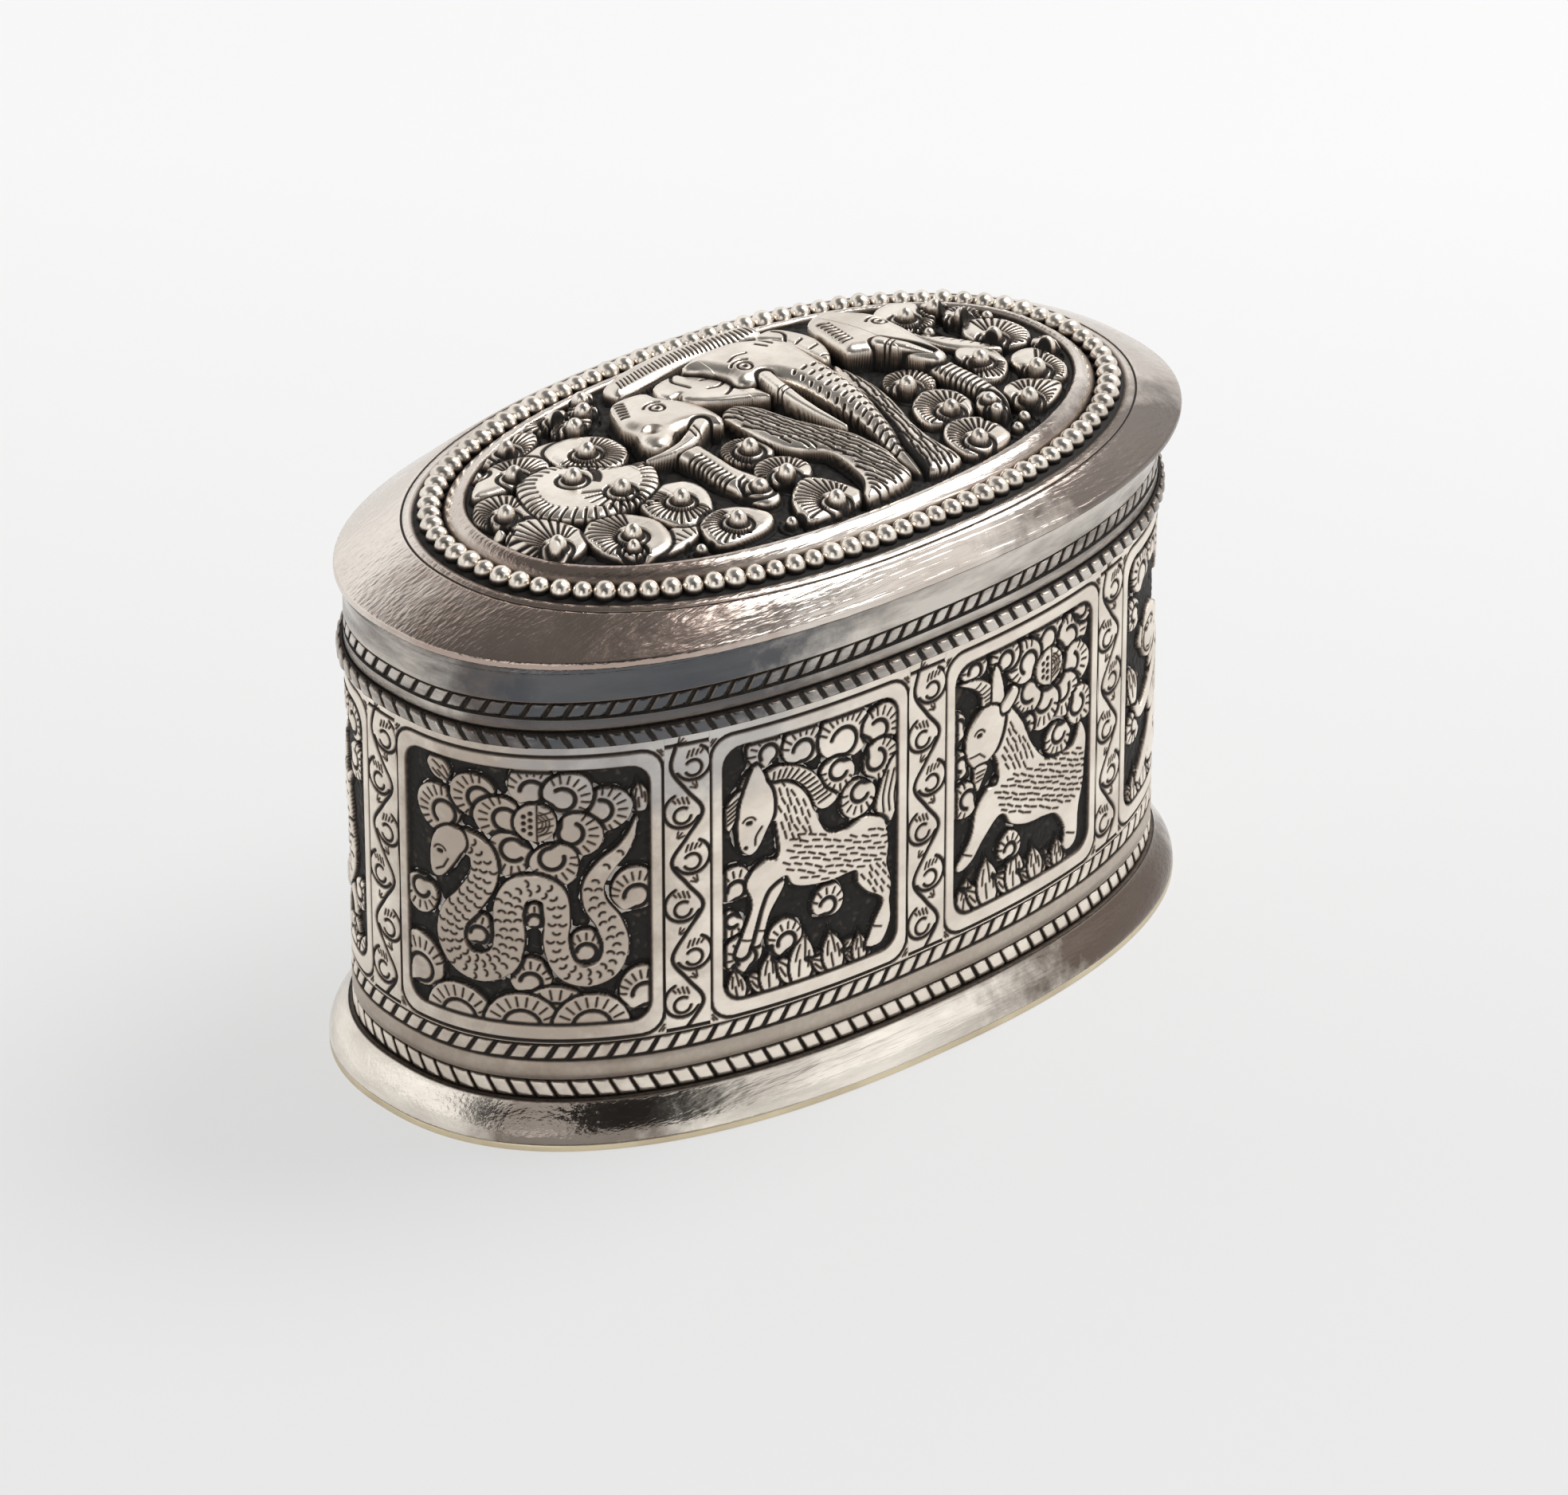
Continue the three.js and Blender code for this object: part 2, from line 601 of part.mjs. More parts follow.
// The trunk and the tusk leave the head at half its height and come down evenly to the ground.
function elephant({ head, headSize, ears, trunk, trunkRadii, tusk, legs }) {
  const half = headSize[2] / 2;
  const parts = [lump(...fieldPlace(head), ...headSize)];
  for (const [along, across, halfX, halfY] of ears)
    parts.push(lump(...fieldPlace([along, across]), halfX, halfY, EAR_RISE, 8));
  for (const { path, radii } of legs)
    parts.push(taper(path.map((place) => fieldPlace(place, -LEG_SINK)), radii));
  const falling = (path) => path.map((place, i) => fieldPlace(place, half * (1 - i / (path.length - 1))));
  parts.push(taper(falling(trunk), trunkRadii, 8), taper(falling(tusk), TUSK_RADII, 4, 5));
  return parts;
}

function leaf([along, across, halfX, halfY]) {
  const [x, y, z] = fieldPlace([along, across]);
  return lump(x, y, z, halfX, halfY, LEAF_RISE, 7);
}

function lidFigures() {
  const back = taper(BACK.path.map((place) => fieldPlace(place)), BACK.radii, 6, 6);
  const figures = [back, ...LEAVES.map(leaf), ...ELEPHANTS.flatMap(elephant)];
  for (let i = 0; i < BEAD_COUNT; i++) {
    const [x, y] = ovalPoint(beadOval, (i + 0.5) / BEAD_COUNT, 0, 0);
    figures.push(lump(x, y, BEAD_BED, BEAD_RADIUS, BEAD_RADIUS, BEAD_RISE, 5));
  }
  return wasm.Manifold.union(figures);
}

function lidTop() {
  const crown = FIELD_EDGE + DOME_RISE;
  const dome = (lift) =>
    DOME_RINGS.map((shrink) => [
      beadOval,
      -FIELD_INSET,
      FIELD_EDGE + lift + DOME_RISE * (1 - shrink * shrink),
      shrink,
    ]);
  const underside = (lift) => [
    ...dome(lift - SHEET).reverse(),
    [beadOval, -FIELD_INSET, FIELD_EDGE + lift - SHEET],
    [beadOval, 0, BEAD_BED + lift - SHEET],
    [beadOval, SHOULDER_WIDTH - SHEET, BEVEL_TOP + lift - SHEET],
  ];
  const plate = disc(
    beadOval,
    crown - SHEET,
    [
      ...underside(0),
      [wallOval, BAND_INNER, BAND_TOP],
      [plateOval, PLATE_SPREAD - PLATE_ROUND, BAND_TOP],
      [plateOval, PLATE_SPREAD, BAND_TOP + PLATE_EDGE / 2],
      [plateOval, PLATE_SPREAD - PLATE_ROUND, PLATE_TOP],
      [beadOval, SHOULDER_WIDTH, BEVEL_TOP],
      [beadOval, BEAD_RADIUS, BEAD_BED],
      [beadOval, -BEAD_RADIUS, BEAD_BED],
      [beadOval, -BORDER_WIDTH, BORDER_TOP],
      [beadOval, -FIELD_INSET, FIELD_EDGE],
      ...dome(0),
    ],
    crown,
  );
  // The figures are solid down to half the sheet, so that nothing of them shows from inside.
  const half = SHEET / 2;
  const over = crown + FIGURE_ROOM;
  const room = disc(beadOval, crown - half, [...underside(half), [beadOval, SHOULDER_WIDTH, over]], over);
  return plate.add(lidFigures().intersect(room));
}

const chased = new THREE.MeshStandardMaterial({ color: 0xb9b0a6, roughness: 0.38, metalness: 1 });
const plain = new THREE.MeshStandardMaterial({ color: 0xc4bdb5, roughness: 0.24, metalness: 1 });
const inside = new THREE.MeshStandardMaterial({ color: 0x8f8982, roughness: 0.45, metalness: 1 });

const box = new THREE.Group();

function addPiece(name, made, material) {
  const mesh = made.getMesh();
  const geometry = new THREE.BufferGeometry()
    .setAttribute("position", new THREE.BufferAttribute(new Float32Array(mesh.vertProperties), 3))
    .setIndex(new THREE.BufferAttribute(new Uint32Array(mesh.triVerts), 1));
  geometry.computeVertexNormals();
  const piece = new THREE.Mesh(geometry, material.clone());
  piece.name = name;
  box.add(piece);
}

addPiece("foot_rim_wire", footRimWire(), plain);
addPiece("foot_ring", footRing(), plain);
addPiece("floor_plate", floorPlate(), inside);
addPiece("body_wall", bodyWall(), chased);
addPiece("inner_collar", innerCollar(), inside);
addPiece("lid_band", lidBand(), chased);
addPiece("lid_moulding", lidMoulding(), chased);
addPiece("lid_top", lidTop(), chased);

export default box;
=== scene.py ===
"""The looks of an oval silver box with chased panels and a lid in high relief.

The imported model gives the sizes. Each class makes one sub-assembly in its place: the foot, the wall
with its eight chased panels, the inside, the lid's band and the lid's top. Relief is painted as
heights in millimetres on flat sheets, which are then bent round the box or laid on its lid.
"""

import logging
import math
from collections.abc import Callable, Iterable, Sequence
from dataclasses import dataclass
from enum import Enum
from functools import cached_property, partial

import bpy
import numpy as np
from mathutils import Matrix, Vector


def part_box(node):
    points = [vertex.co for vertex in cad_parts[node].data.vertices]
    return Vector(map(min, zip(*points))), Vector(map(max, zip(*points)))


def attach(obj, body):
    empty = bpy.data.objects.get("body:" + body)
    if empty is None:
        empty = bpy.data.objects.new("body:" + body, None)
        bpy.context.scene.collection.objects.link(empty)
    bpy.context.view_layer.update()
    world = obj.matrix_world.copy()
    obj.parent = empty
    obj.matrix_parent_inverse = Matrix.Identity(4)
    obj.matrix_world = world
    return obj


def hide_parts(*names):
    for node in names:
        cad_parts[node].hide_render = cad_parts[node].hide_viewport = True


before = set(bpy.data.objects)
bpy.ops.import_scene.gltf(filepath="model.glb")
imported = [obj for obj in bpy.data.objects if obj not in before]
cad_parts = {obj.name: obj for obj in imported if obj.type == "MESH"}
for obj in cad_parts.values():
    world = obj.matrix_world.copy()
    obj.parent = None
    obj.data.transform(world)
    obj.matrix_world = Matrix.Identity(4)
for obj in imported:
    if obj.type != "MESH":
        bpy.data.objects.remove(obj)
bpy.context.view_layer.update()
LOG = logging.getLogger("silver_box")

MM = 0.001
OVAL_STEPS, CURVE_STEPS, SWEEP_STEPS, LINE_POINTS = 5760, 6, 512, 720
ROPE_STRANDS, BORDER_BEADS = 117, 93
Point = tuple[float, float]
Path = Sequence[Point]
Triple = tuple[float, float, float]
Tree, Thing, Material = bpy.types.NodeTree, bpy.types.Object, bpy.types.Material
Array = np.ndarray
Socket = bpy.types.NodeSocket
Source = float | Socket


def node_box(node: str) -> tuple[Array, Array]:
    """Lowest and highest corner of a CAD node, in millimetres."""
    low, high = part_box(node)
    return np.array(low) / MM, np.array(high) / MM


@dataclass(frozen=True)
class Oval:
    """A superellipse walked by its own length, from the left end along the front."""

    half_length: float
    half_width: float
    power: float
    middle: Point = (0.0, 0.0)

    @cached_property
    def walk(self) -> tuple[Array, Array, Array]:
        """Points of the oval, and the length walked to each of them."""
        angle = np.pi + np.linspace(0, 2 * np.pi, OVAL_STEPS + 1)
        c, s = np.cos(angle), np.sin(angle)
        x = self.half_length * np.sign(c) * np.abs(c) ** (2 / self.power)
        y = self.half_width * np.sign(s) * np.abs(s) ** (2 / self.power)
        return x, y, np.concatenate([[0], np.cumsum(np.hypot(np.diff(x), np.diff(y)))])

    @property
    def perimeter(self) -> float:
        """Length once round."""
        return float(self.walk[2][-1])

    def at(self, along: Array, outset: Array | float = 0.0) -> tuple[Array, Array]:
        """Places at some length along the oval and some way outside it.

        Args:
            along: Lengths from the left end, in millimetres.
            outset: Distance outside the oval, square to it.

        Returns:
            The x and y of each place.
        """
        x, y, length = self.walk
        wrapped = np.mod(along, self.perimeter)
        px, py = np.interp(wrapped, length, x), np.interp(wrapped, length, y)
        nx = np.sign(px) * (np.abs(px) / self.half_length) ** (self.power - 1) / self.half_length
        ny = np.sign(py) * (np.abs(py) / self.half_width) ** (self.power - 1) / self.half_width
        size = np.hypot(nx, ny)
        return self.middle[0] + px + outset * nx / size, self.middle[1] + py + outset * ny / size


WALL_LOW, WALL_HIGH = node_box("body_wall")
BAND_LOW, BAND_HIGH = node_box("lid_band")
TOP_LOW, TOP_HIGH = node_box("lid_top")
COLLAR_LOW, COLLAR_HIGH = node_box("inner_collar")

WALL_OVAL = Oval(WALL_HIGH[0], WALL_HIGH[1], 2.34)
PLATE_SHIFT = (TOP_HIGH[0] + TOP_LOW[0]) / 2
PLATE_OVAL = Oval(WALL_OVAL.half_length, WALL_OVAL.half_width, WALL_OVAL.power, (PLATE_SHIFT, 0.0))
BEAD_OVAL = Oval(41.7, 24.0, 2.23, (2.3, 0.0))


def smooth_path(points: Path, closed: bool = False) -> Array:
    """A smooth curve through some points.

    Args:
        points: The points, in order.
        closed: Whether the curve comes back to its first point.

    Returns:
        An array of points along the curve.
    """
    p = np.array(points, float)
    if len(p) < 3:
        return p
    if closed:
        ring = np.concatenate([p[-1:], p, p[:2]])
    else:
        ring = np.concatenate([2 * p[:1] - p[1:2], p, 2 * p[-1:] - p[-2:-1]])
    out = []
    for i in range(len(ring) - 3):
        a, b, c, d = ring[i : i + 4]
        for t in np.arange(CURVE_STEPS) / CURVE_STEPS:
            out.append(0.5 * (2 * b + (c - a) * t + (2 * a - 5 * b + 4 * c - d) * t**2
                              + (3 * b - a - 3 * c + d) * t**3))
    if not closed:
        out.append(p[-1])
    return np.array(out)


def arc(x: float, y: float, radius: float, start: float, end: float, squash: float = 1.0,
        turn: float = 0.0) -> Array:
    """Points of an arc, with angles in degrees, squashed across and then turned."""
    angle = np.radians(np.linspace(start, end, max(6, int(abs(end - start) / 14))))
    px, py = radius * np.cos(angle), radius * squash * np.sin(angle)
    c, s = math.cos(math.radians(turn)), math.sin(math.radians(turn))
    return np.stack([x + c * px - s * py, y + s * px + c * py], 1)


def spiral(x: float, y: float, radius: float, start: float, turns: float) -> Array:
    """Points of a spiral that runs in from its radius almost to its middle."""
    share = np.linspace(0, 1, max(10, int(abs(turns) * 16)))
    angle = math.radians(start) + 2 * np.pi * turns * share
    reach = radius * (1 - 0.82 * share)
    return np.stack([x + reach * np.cos(angle), y + reach * np.sin(angle)], 1)


def blur(grid: Array, reach: int) -> Array:
    """A grid averaged three times over a square of the given reach in cells."""
    for _ in range(3):
        for axis in (0, 1):
            edge = [(reach + 1, reach) if axis == a else (0, 0) for a in (0, 1)]
            total = np.cumsum(np.pad(grid, edge, mode="edge"), axis)
            size = 2 * reach + 1
            grid = (np.take(total, range(size, total.shape[axis]), axis)
                    - np.take(total, range(total.shape[axis] - size), axis)) / size
    return grid


def path_distance(px: Array, py: Array, path: Array) -> tuple[Array, Array]:
    """Distance from some points to a path, and how far along the path its nearest place lies."""
    best, share = np.full(px.size, np.inf), np.zeros(px.size)
    for i, ((ax, ay), (bx, by)) in enumerate(zip(path[:-1], path[1:])):
        dx, dy = bx - ax, by - ay
        t = np.clip(((px - ax) * dx + (py - ay) * dy) / max(dx * dx + dy * dy, 1e-9), 0, 1)
        d = np.hypot(px - ax - t * dx, py - ay - t * dy)
        nearer = d < best
        best[nearer] = d[nearer]
        share[nearer] = (i + t[nearer]) / (len(path) - 1)
    return best, share


def holds(outline: Array, px: Array, py: Array) -> Array:
    """Which of some points lie inside a closed outline."""
    odd = np.zeros(px.size, bool)
    for (ax, ay), (bx, by) in zip(outline, np.roll(outline, -1, 0)):
        if ay != by:
            odd ^= ((ay > py) != (by > py)) & (px < (bx - ax) * (py - ay) / (by - ay) + ax)
    return odd


class Relief:
    """A sheet of silver that is chased: a height, and an amount of oxide and painted shade, at each of its
    points.
    """

    ROUND_SHARE = 0.7
    TRENCH_DEPTH, TRENCH_INK = 0.25, 2.2
    EDGE_CELLS, LINE_CELLS = 1.6, 0.75
    MARGIN = 0.4
    CAVITY_DEPTH = 0.22

    def __init__(self, x: Array, y: Array, step: float) -> None:
        """Starts a flat clean sheet.

        Args:
            x: Places of the sheet's points, as a grid.
            y: The same across.
            step: The distance between neighbours, in millimetres.
        """
        self.shape = x.shape
        self.x, self.y, self.step = x.ravel(), y.ravel(), step
        self.height = np.zeros(x.size)
        self.oxide = np.zeros(x.size)

    def near(self, path: Array, margin: float) -> Array:
        """Numbers of the sheet's points within a margin of a path's box."""
        low, high = path.min(0) - margin, path.max(0) + margin
        keep = (self.x > low[0]) & (self.x < high[0]) & (self.y > low[1]) & (self.y < high[1])
        return np.flatnonzero(keep)

    def _raise(self, picked: Array, depth: Array, top: Array | float, shoulder: Array | float,
               drop: Array | float, moat: float, ink: float = 1.0) -> None:
        """Raises what has a positive depth to top, rounds its shoulder, and cuts a dark moat round it."""
        t = np.clip(depth / shoulder, 0, 1)
        form = top - drop * (1 - np.sqrt(1 - (1 - t) ** 2))
        cover = np.clip(depth / (self.EDGE_CELLS * self.step) + 0.5, 0, 1)
        trench = np.clip(1 + np.minimum(depth, 0) / max(moat, 1e-6), 0, 1) * (1 - cover)
        lowered = self.height[picked] - self.TRENCH_DEPTH * trench * (moat > 0)
        self.height[picked] = lowered * (1 - cover) + form * cover
        dark = ink * np.clip(self.TRENCH_INK * trench, 0, 1)
        self.oxide[picked] = np.maximum(self.oxide[picked] * (1 - cover), dark)

    def form(self, outline: Path, top: float | Callable[[Array, Array], Array] = 0.0,
             shoulder: float = 0.35, drop: float = 0.16, moat: float = 0.42, smooth: bool = True) -> Array:
        """Raises a closed outline.

        Args:
            outline: Its points.
            top: Its height, or a function of x and y that gives it.
            shoulder: How far in from the edge it is rounded.
            drop: How much lower its edge is than its top.
            moat: Width of the groove round it.
            smooth: Whether the outline is drawn as a smooth curve.

        Returns:
            The outline as it was drawn.
        """
        edge = smooth_path(outline, True) if smooth else np.array(outline, float)
        picked = self.near(edge, moat + self.MARGIN)
        px, py = self.x[picked], self.y[picked]
        away, _ = path_distance(px, py, np.concatenate([edge, edge[:1]]))
        depth = np.where(holds(edge, px, py), away, -away)
        high = top(px, py) if callable(top) else top
        self._raise(picked, depth, high, shoulder, drop, moat)
        return edge

    def tube(self, path: Path, widths: Sequence[float], top: float | Sequence[float], moat: float = 0.42,
             drop: float = 0.3) -> Array:
        """Raises a round bar along a path, with widths and tops that change evenly along it."""
        line = smooth_path(path)
        widths, tops = np.atleast_1d(widths), np.atleast_1d(top)
        picked = self.near(line, float(max(widths)) / 2 + moat + self.MARGIN)
        away, share = path_distance(self.x[picked], self.y[picked], line)
        half = np.interp(share, np.linspace(0, 1, len(widths)), widths) / 2
        high = np.interp(share, np.linspace(0, 1, len(tops)), tops)
        self._raise(picked, half - away, high, np.maximum(half * self.ROUND_SHARE, 0.05), drop, moat)
        return line

    def groove(self, path: Path, width: float = 0.3, depth: float = 0.16, smooth: bool = False) -> None:
        """Cuts a line and leaves it dark."""
        line = smooth_path(path) if smooth else np.array(path, float)
        soft = self.LINE_CELLS * self.step
        picked = self.near(line, width / 2 + 2 * soft)
        away, _ = path_distance(self.x[picked], self.y[picked], line)
        cut = np.clip((width / 2 + soft - away) / (2 * soft), 0, 1)
        self.height[picked] -= depth * cut
        self.oxide[picked] = np.maximum(self.oxide[picked], cut)

    def dome(self, x: float, y: float, radius: float, rise: float, moat: float = 0.3) -> None:
        """Raises a round bead from what lies under it."""
        spot = np.array([[x, y]])
        picked = self.near(spot, radius + moat + self.MARGIN)
        away = np.hypot(self.x[picked] - x, self.y[picked] - y)
        under = float(self.height[picked][away.argmin()])
        self._raise(picked, radius - away, under + rise, radius, rise, moat, 0.9)

    def swell(self, x: float, y: float, radius_x: float, radius_y: float, rise: float) -> None:
        """Adds a soft swelling, or with a negative rise a soft hollow."""
        picked = self.near(np.array([[x, y]]), 1.1 * max(radius_x, radius_y))
        reach = ((self.x[picked] - x) / radius_x) ** 2 + ((self.y[picked] - y) / radius_y) ** 2
        self.height[picked] += rise * np.clip(1 - reach, 0, 1) ** 2

    def fan(self, x: float, y: float, inner: float, outer: float, start: float, end: float, count: int,
            width: float = 0.2, depth: float = 0.12) -> None:
        """Cuts a fan of short lines round a place, between two radii and two angles."""
        for angle in np.radians(np.linspace(start, end, count)):
            c, s = math.cos(angle), math.sin(angle)
            self.groove([(x + inner * c, y + inner * s), (x + outer * c, y + outer * s)], width, depth)

    def rungs(self, first: Path, second: Path, count: int, width: float = 0.2, depth: float = 0.12) -> None:
        """Cuts lines from one path to another at even shares of both."""
        share = (np.arange(count) + 0.5) / count
        ends = []
        for path in (first, second):
            line = smooth_path(path)
            at = np.linspace(0, 1, len(line))
            ends.append(np.stack([np.interp(share, at, line[:, 0]), np.interp(share, at, line[:, 1])], 1))
        for a, b in zip(*ends):
            self.groove([a, b], width, depth)

    def ring(self, x: float, y: float, radius: float, width: float = 0.25, depth: float = 0.14) -> None:
        """Cuts a circle."""
        self.groove(arc(x, y, radius, 0, 360), width, depth)

    def strokes(self, outline: Path, pitch: float, length: float, angle: float, seed: int,
                margin: float = 0.5, width: float = 0.22) -> None:
        """Cuts short staggered strokes inside an outline, like hair.

        Args:
            outline: Where they go.
            pitch: Distance between them.
            length: Their length.
            angle: Their direction in degrees.
            seed: Seed of their small errors.
            margin: How far from the outline they stay.
            width: Their width.
        """
        edge = smooth_path(outline, True)
        rng = np.random.default_rng(seed)
        low, high = edge.min(0), edge.max(0)
        turn = math.radians(angle)
        u, v = np.array([math.cos(turn), math.sin(turn)]), np.array([-math.sin(turn), math.cos(turn)])
        reach = int(np.hypot(*(high - low)) / pitch) + 1
        for j in range(-reach, reach + 1):
            for i in range(-reach, reach + 1):
                across, error = (i + 0.5 * (j % 2)) * 1.25 * pitch, rng.uniform(-0.12, 0.12, 2)
                spot = (low + high) / 2 + across * u + 0.62 * j * pitch * v + error
                away, _ = path_distance(spot[:1], spot[1:], np.concatenate([edge, edge[:1]]))
                if holds(edge, spot[:1], spot[1:])[0] and away[0] > margin:
                    along = u + rng.uniform(-0.2, 0.2) * v
                    self.groove([spot - 0.5 * length * along, spot + 0.5 * length * along], width, 0.14)

    def cavities(self, reach: float) -> Array:
        """How far each point lies below its surroundings, from 0 to 1."""
        grid = self.height.reshape(self.shape)
        cells = max(1, round(reach / self.step))
        return np.clip((blur(grid, cells) - grid) / self.CAVITY_DEPTH, 0, 1).ravel()


def add_object(name: str, data: bpy.types.ID) -> Thing:
    """Adds an object with the given data to the scene."""
    obj = bpy.data.objects.new(name, data)
    bpy.context.scene.collection.objects.link(obj)
    return obj


def grid_quads(shape: tuple[int, int]) -> tuple[Array, list[list[int]]]:
    """The numbers of a grid's points, and its cells as four of them each."""
    number = np.arange(shape[0] * shape[1]).reshape(shape)
    quads = np.stack([number[:-1, :-1], number[:-1, 1:], number[1:, 1:], number[1:, :-1]], -1)
    return number, quads.reshape(-1, 4).tolist()


def rim_of(number: Array) -> Array:
    """The numbers round a grid's edge, from its first corner along its first row."""
    return np.concatenate([number[0, :-1], number[:-1, -1], number[-1, :0:-1], number[:0:-1, 0]])


def add_mesh(name: str, points: Array, faces: list[list[int]], oxide: Array | None = None) -> Thing:
    """Makes a smooth object at the origin from places in millimetres, with its oxide and painted shade as an
    attribute.
    """
    mesh = bpy.data.meshes.new(name)
    mesh.from_pydata((np.asarray(points) * MM).tolist(), [], faces)
    mesh.shade_smooth()
    if oxide is not None:
        mesh.attributes.new("oxide", "FLOAT", "POINT").data.foreach_set("value", oxide.astype(np.float32))
    return add_object(name, mesh)


def slab(name: str, front: Array, back: Array, shape: tuple[int, int], oxide: Array) -> Thing:
    """Closes a grid of front points with a plain back.

    Args:
        name: The object's name.
        front: The front's points, row by row.
        back: Two rows of points behind the lowest and the highest row.
        shape: Rows and columns of the front.
        oxide: The front's oxide, and painted shade in its hollows.

    Returns:
        The closed object.
    """
    rows, columns = shape
    number, quads = grid_quads(shape)
    low = rows * columns + np.arange(columns)
    high = low + columns
    first, last = number[0], number[-1]
    for i in range(columns - 1):
        quads.append([int(low[i + 1]), int(low[i]), int(high[i]), int(high[i + 1])])
        quads.append([int(low[i]), int(low[i + 1]), int(first[i + 1]), int(first[i])])
        quads.append([int(last[i]), int(last[i + 1]), int(high[i + 1]), int(high[i])])
    quads.append([int(low[0])] + number[:, 0].tolist() + [int(high[0])])
    quads.append([int(high[-1])] + number[::-1, -1].tolist() + [int(low[-1])])
    values = np.concatenate([oxide, np.zeros(2 * columns)])
    return add_mesh(name, np.concatenate([front, back]), quads, values)


@dataclass(frozen=True)
class Station:
    """One corner of a profile that is swept round the box."""

    oval: Oval
    outset: float
    z: float
    oxide: float = 0.0
    shrink: float = 1.0


def profile(oval: Oval, corners: Iterable[tuple[float, ...]]) -> list[Station]:
    """Corners outside one oval, each given as its outset, its height and, where it has any, its oxide."""
    return [Station(oval, *corner) for corner in corners]


def sweep(name: str, stations: Sequence[Station], closed: bool = True,
          waver: Callable[[Array, float], Array] | None = None) -> Thing:
    """Sweeps a profile round the box.

    Args:
        name: The object's name.
        stations: The profile's corners, counter-clockwise where x runs outwards and z up.
        closed: Whether the profile is a ring; otherwise its two ends close on the middle.
        waver: Gives the small outward error of a hand-made piece at some shares round, at a height.

    Returns:
        The object.
    """
    share = np.arange(SWEEP_STEPS) / SWEEP_STEPS
    rows, oxide = [], []
    for s in stations:
        error = waver(share, s.z) if waver else 0.0
        x, y = s.oval.at(share * s.oval.perimeter, s.outset + error)
        mx, my = s.oval.middle
        rows.append(np.stack([mx + s.shrink * (x - mx), my + s.shrink * (y - my),
                              np.full(SWEEP_STEPS, s.z)], 1))
        oxide.append(np.full(SWEEP_STEPS, s.oxide))
    count = len(stations)
    faces = []
    here = np.arange(SWEEP_STEPS)
    following = np.roll(here, -1)
    for k in range(count if closed else count - 1):
        a, b = k * SWEEP_STEPS, ((k + 1) % count) * SWEEP_STEPS
        faces += np.stack([a + here, a + following, b + following, b + here], 1).tolist()
    points = np.concatenate(rows)
    values = np.concatenate(oxide)
    if not closed:
        for end, row in ((0, 0), (-1, (count - 1) * SWEEP_STEPS)):
            middle = len(points)
            points = np.concatenate([points, [[*stations[end].oval.middle, stations[end].z]]])
            values = np.append(values, stations[end].oxide)
            fan = [[middle, row + int(j), row + int(i)] for i, j in enumerate(following)]
            faces += fan if end == 0 else [f[::-1] for f in fan]
    return add_mesh(name, points, faces, values)


def hand_waver(seed: int, size: float) -> Callable[[Array, float], Array]:
    """The small outward error of a hand-made ring, which turns slowly round it and with height."""
    rng = np.random.default_rng(seed)
    waves = [(n, rng.uniform(-1, 1) * size / n**0.6, rng.uniform(0, 6.28), rng.uniform(-0.2, 0.2))
             for n in (2, 3, 5, 7, 11, 17, 23)]

    def waver(share: Array, z: float) -> Array:
        """The error at some shares round, at one height."""
        return sum(a * np.sin(2 * np.pi * n * share + start + lean * z) for n, a, start, lean in waves)

    return waver


def add_node(tree: Tree, kind: str, inputs: dict[int | str, object] | None = None,
             **settings: object) -> bpy.types.Node:
    """Adds a node to a tree.

    Args:
        tree: The tree.
        kind: The node's type.
        inputs: For some of its inputs, a value or the socket that feeds it.
        settings: Its other properties.

    Returns:
        The node.
    """
    node = tree.nodes.new(kind)
    for name, value in settings.items():
        setattr(node, name, value)
    for key, value in (inputs or {}).items():
        if isinstance(value, Socket):
            tree.links.new(value, node.inputs[key])
        else:
            node.inputs[key].default_value = value
    return node


def calculate(tree: Tree, operation: str, first: Source, second: Source, clamp: bool = False) -> Socket:
    """Adds a node that calculates with two values."""
    return add_node(tree, "ShaderNodeMath", {0: first, 1: second}, operation=operation,
                    use_clamp=clamp).outputs[0]


def remap(tree: Tree, value: Socket, source: Point = (0.0, 1.0), target: Point = (0.0, 1.0)) -> Socket:
    """Turns a value between two limits into one between two others."""
    limits = {"From Min": source[0], "From Max": source[1], "To Min": target[0], "To Max": target[1]}
    return add_node(tree, "ShaderNodeMapRange", {"Value": value, **limits}).outputs[0]


def mix_colours(tree: Tree, share: Socket, first: tuple | Socket, second: tuple | Socket) -> Socket:
    """Mixes two colours, each given as a value or as a socket, by a share."""
    first, second = ((*c, 1.0) if isinstance(c, tuple) else c for c in (first, second))
    return add_node(tree, "ShaderNodeMix", {"Factor": share, 6: first, 7: second},
                    data_type="RGBA").outputs[2]


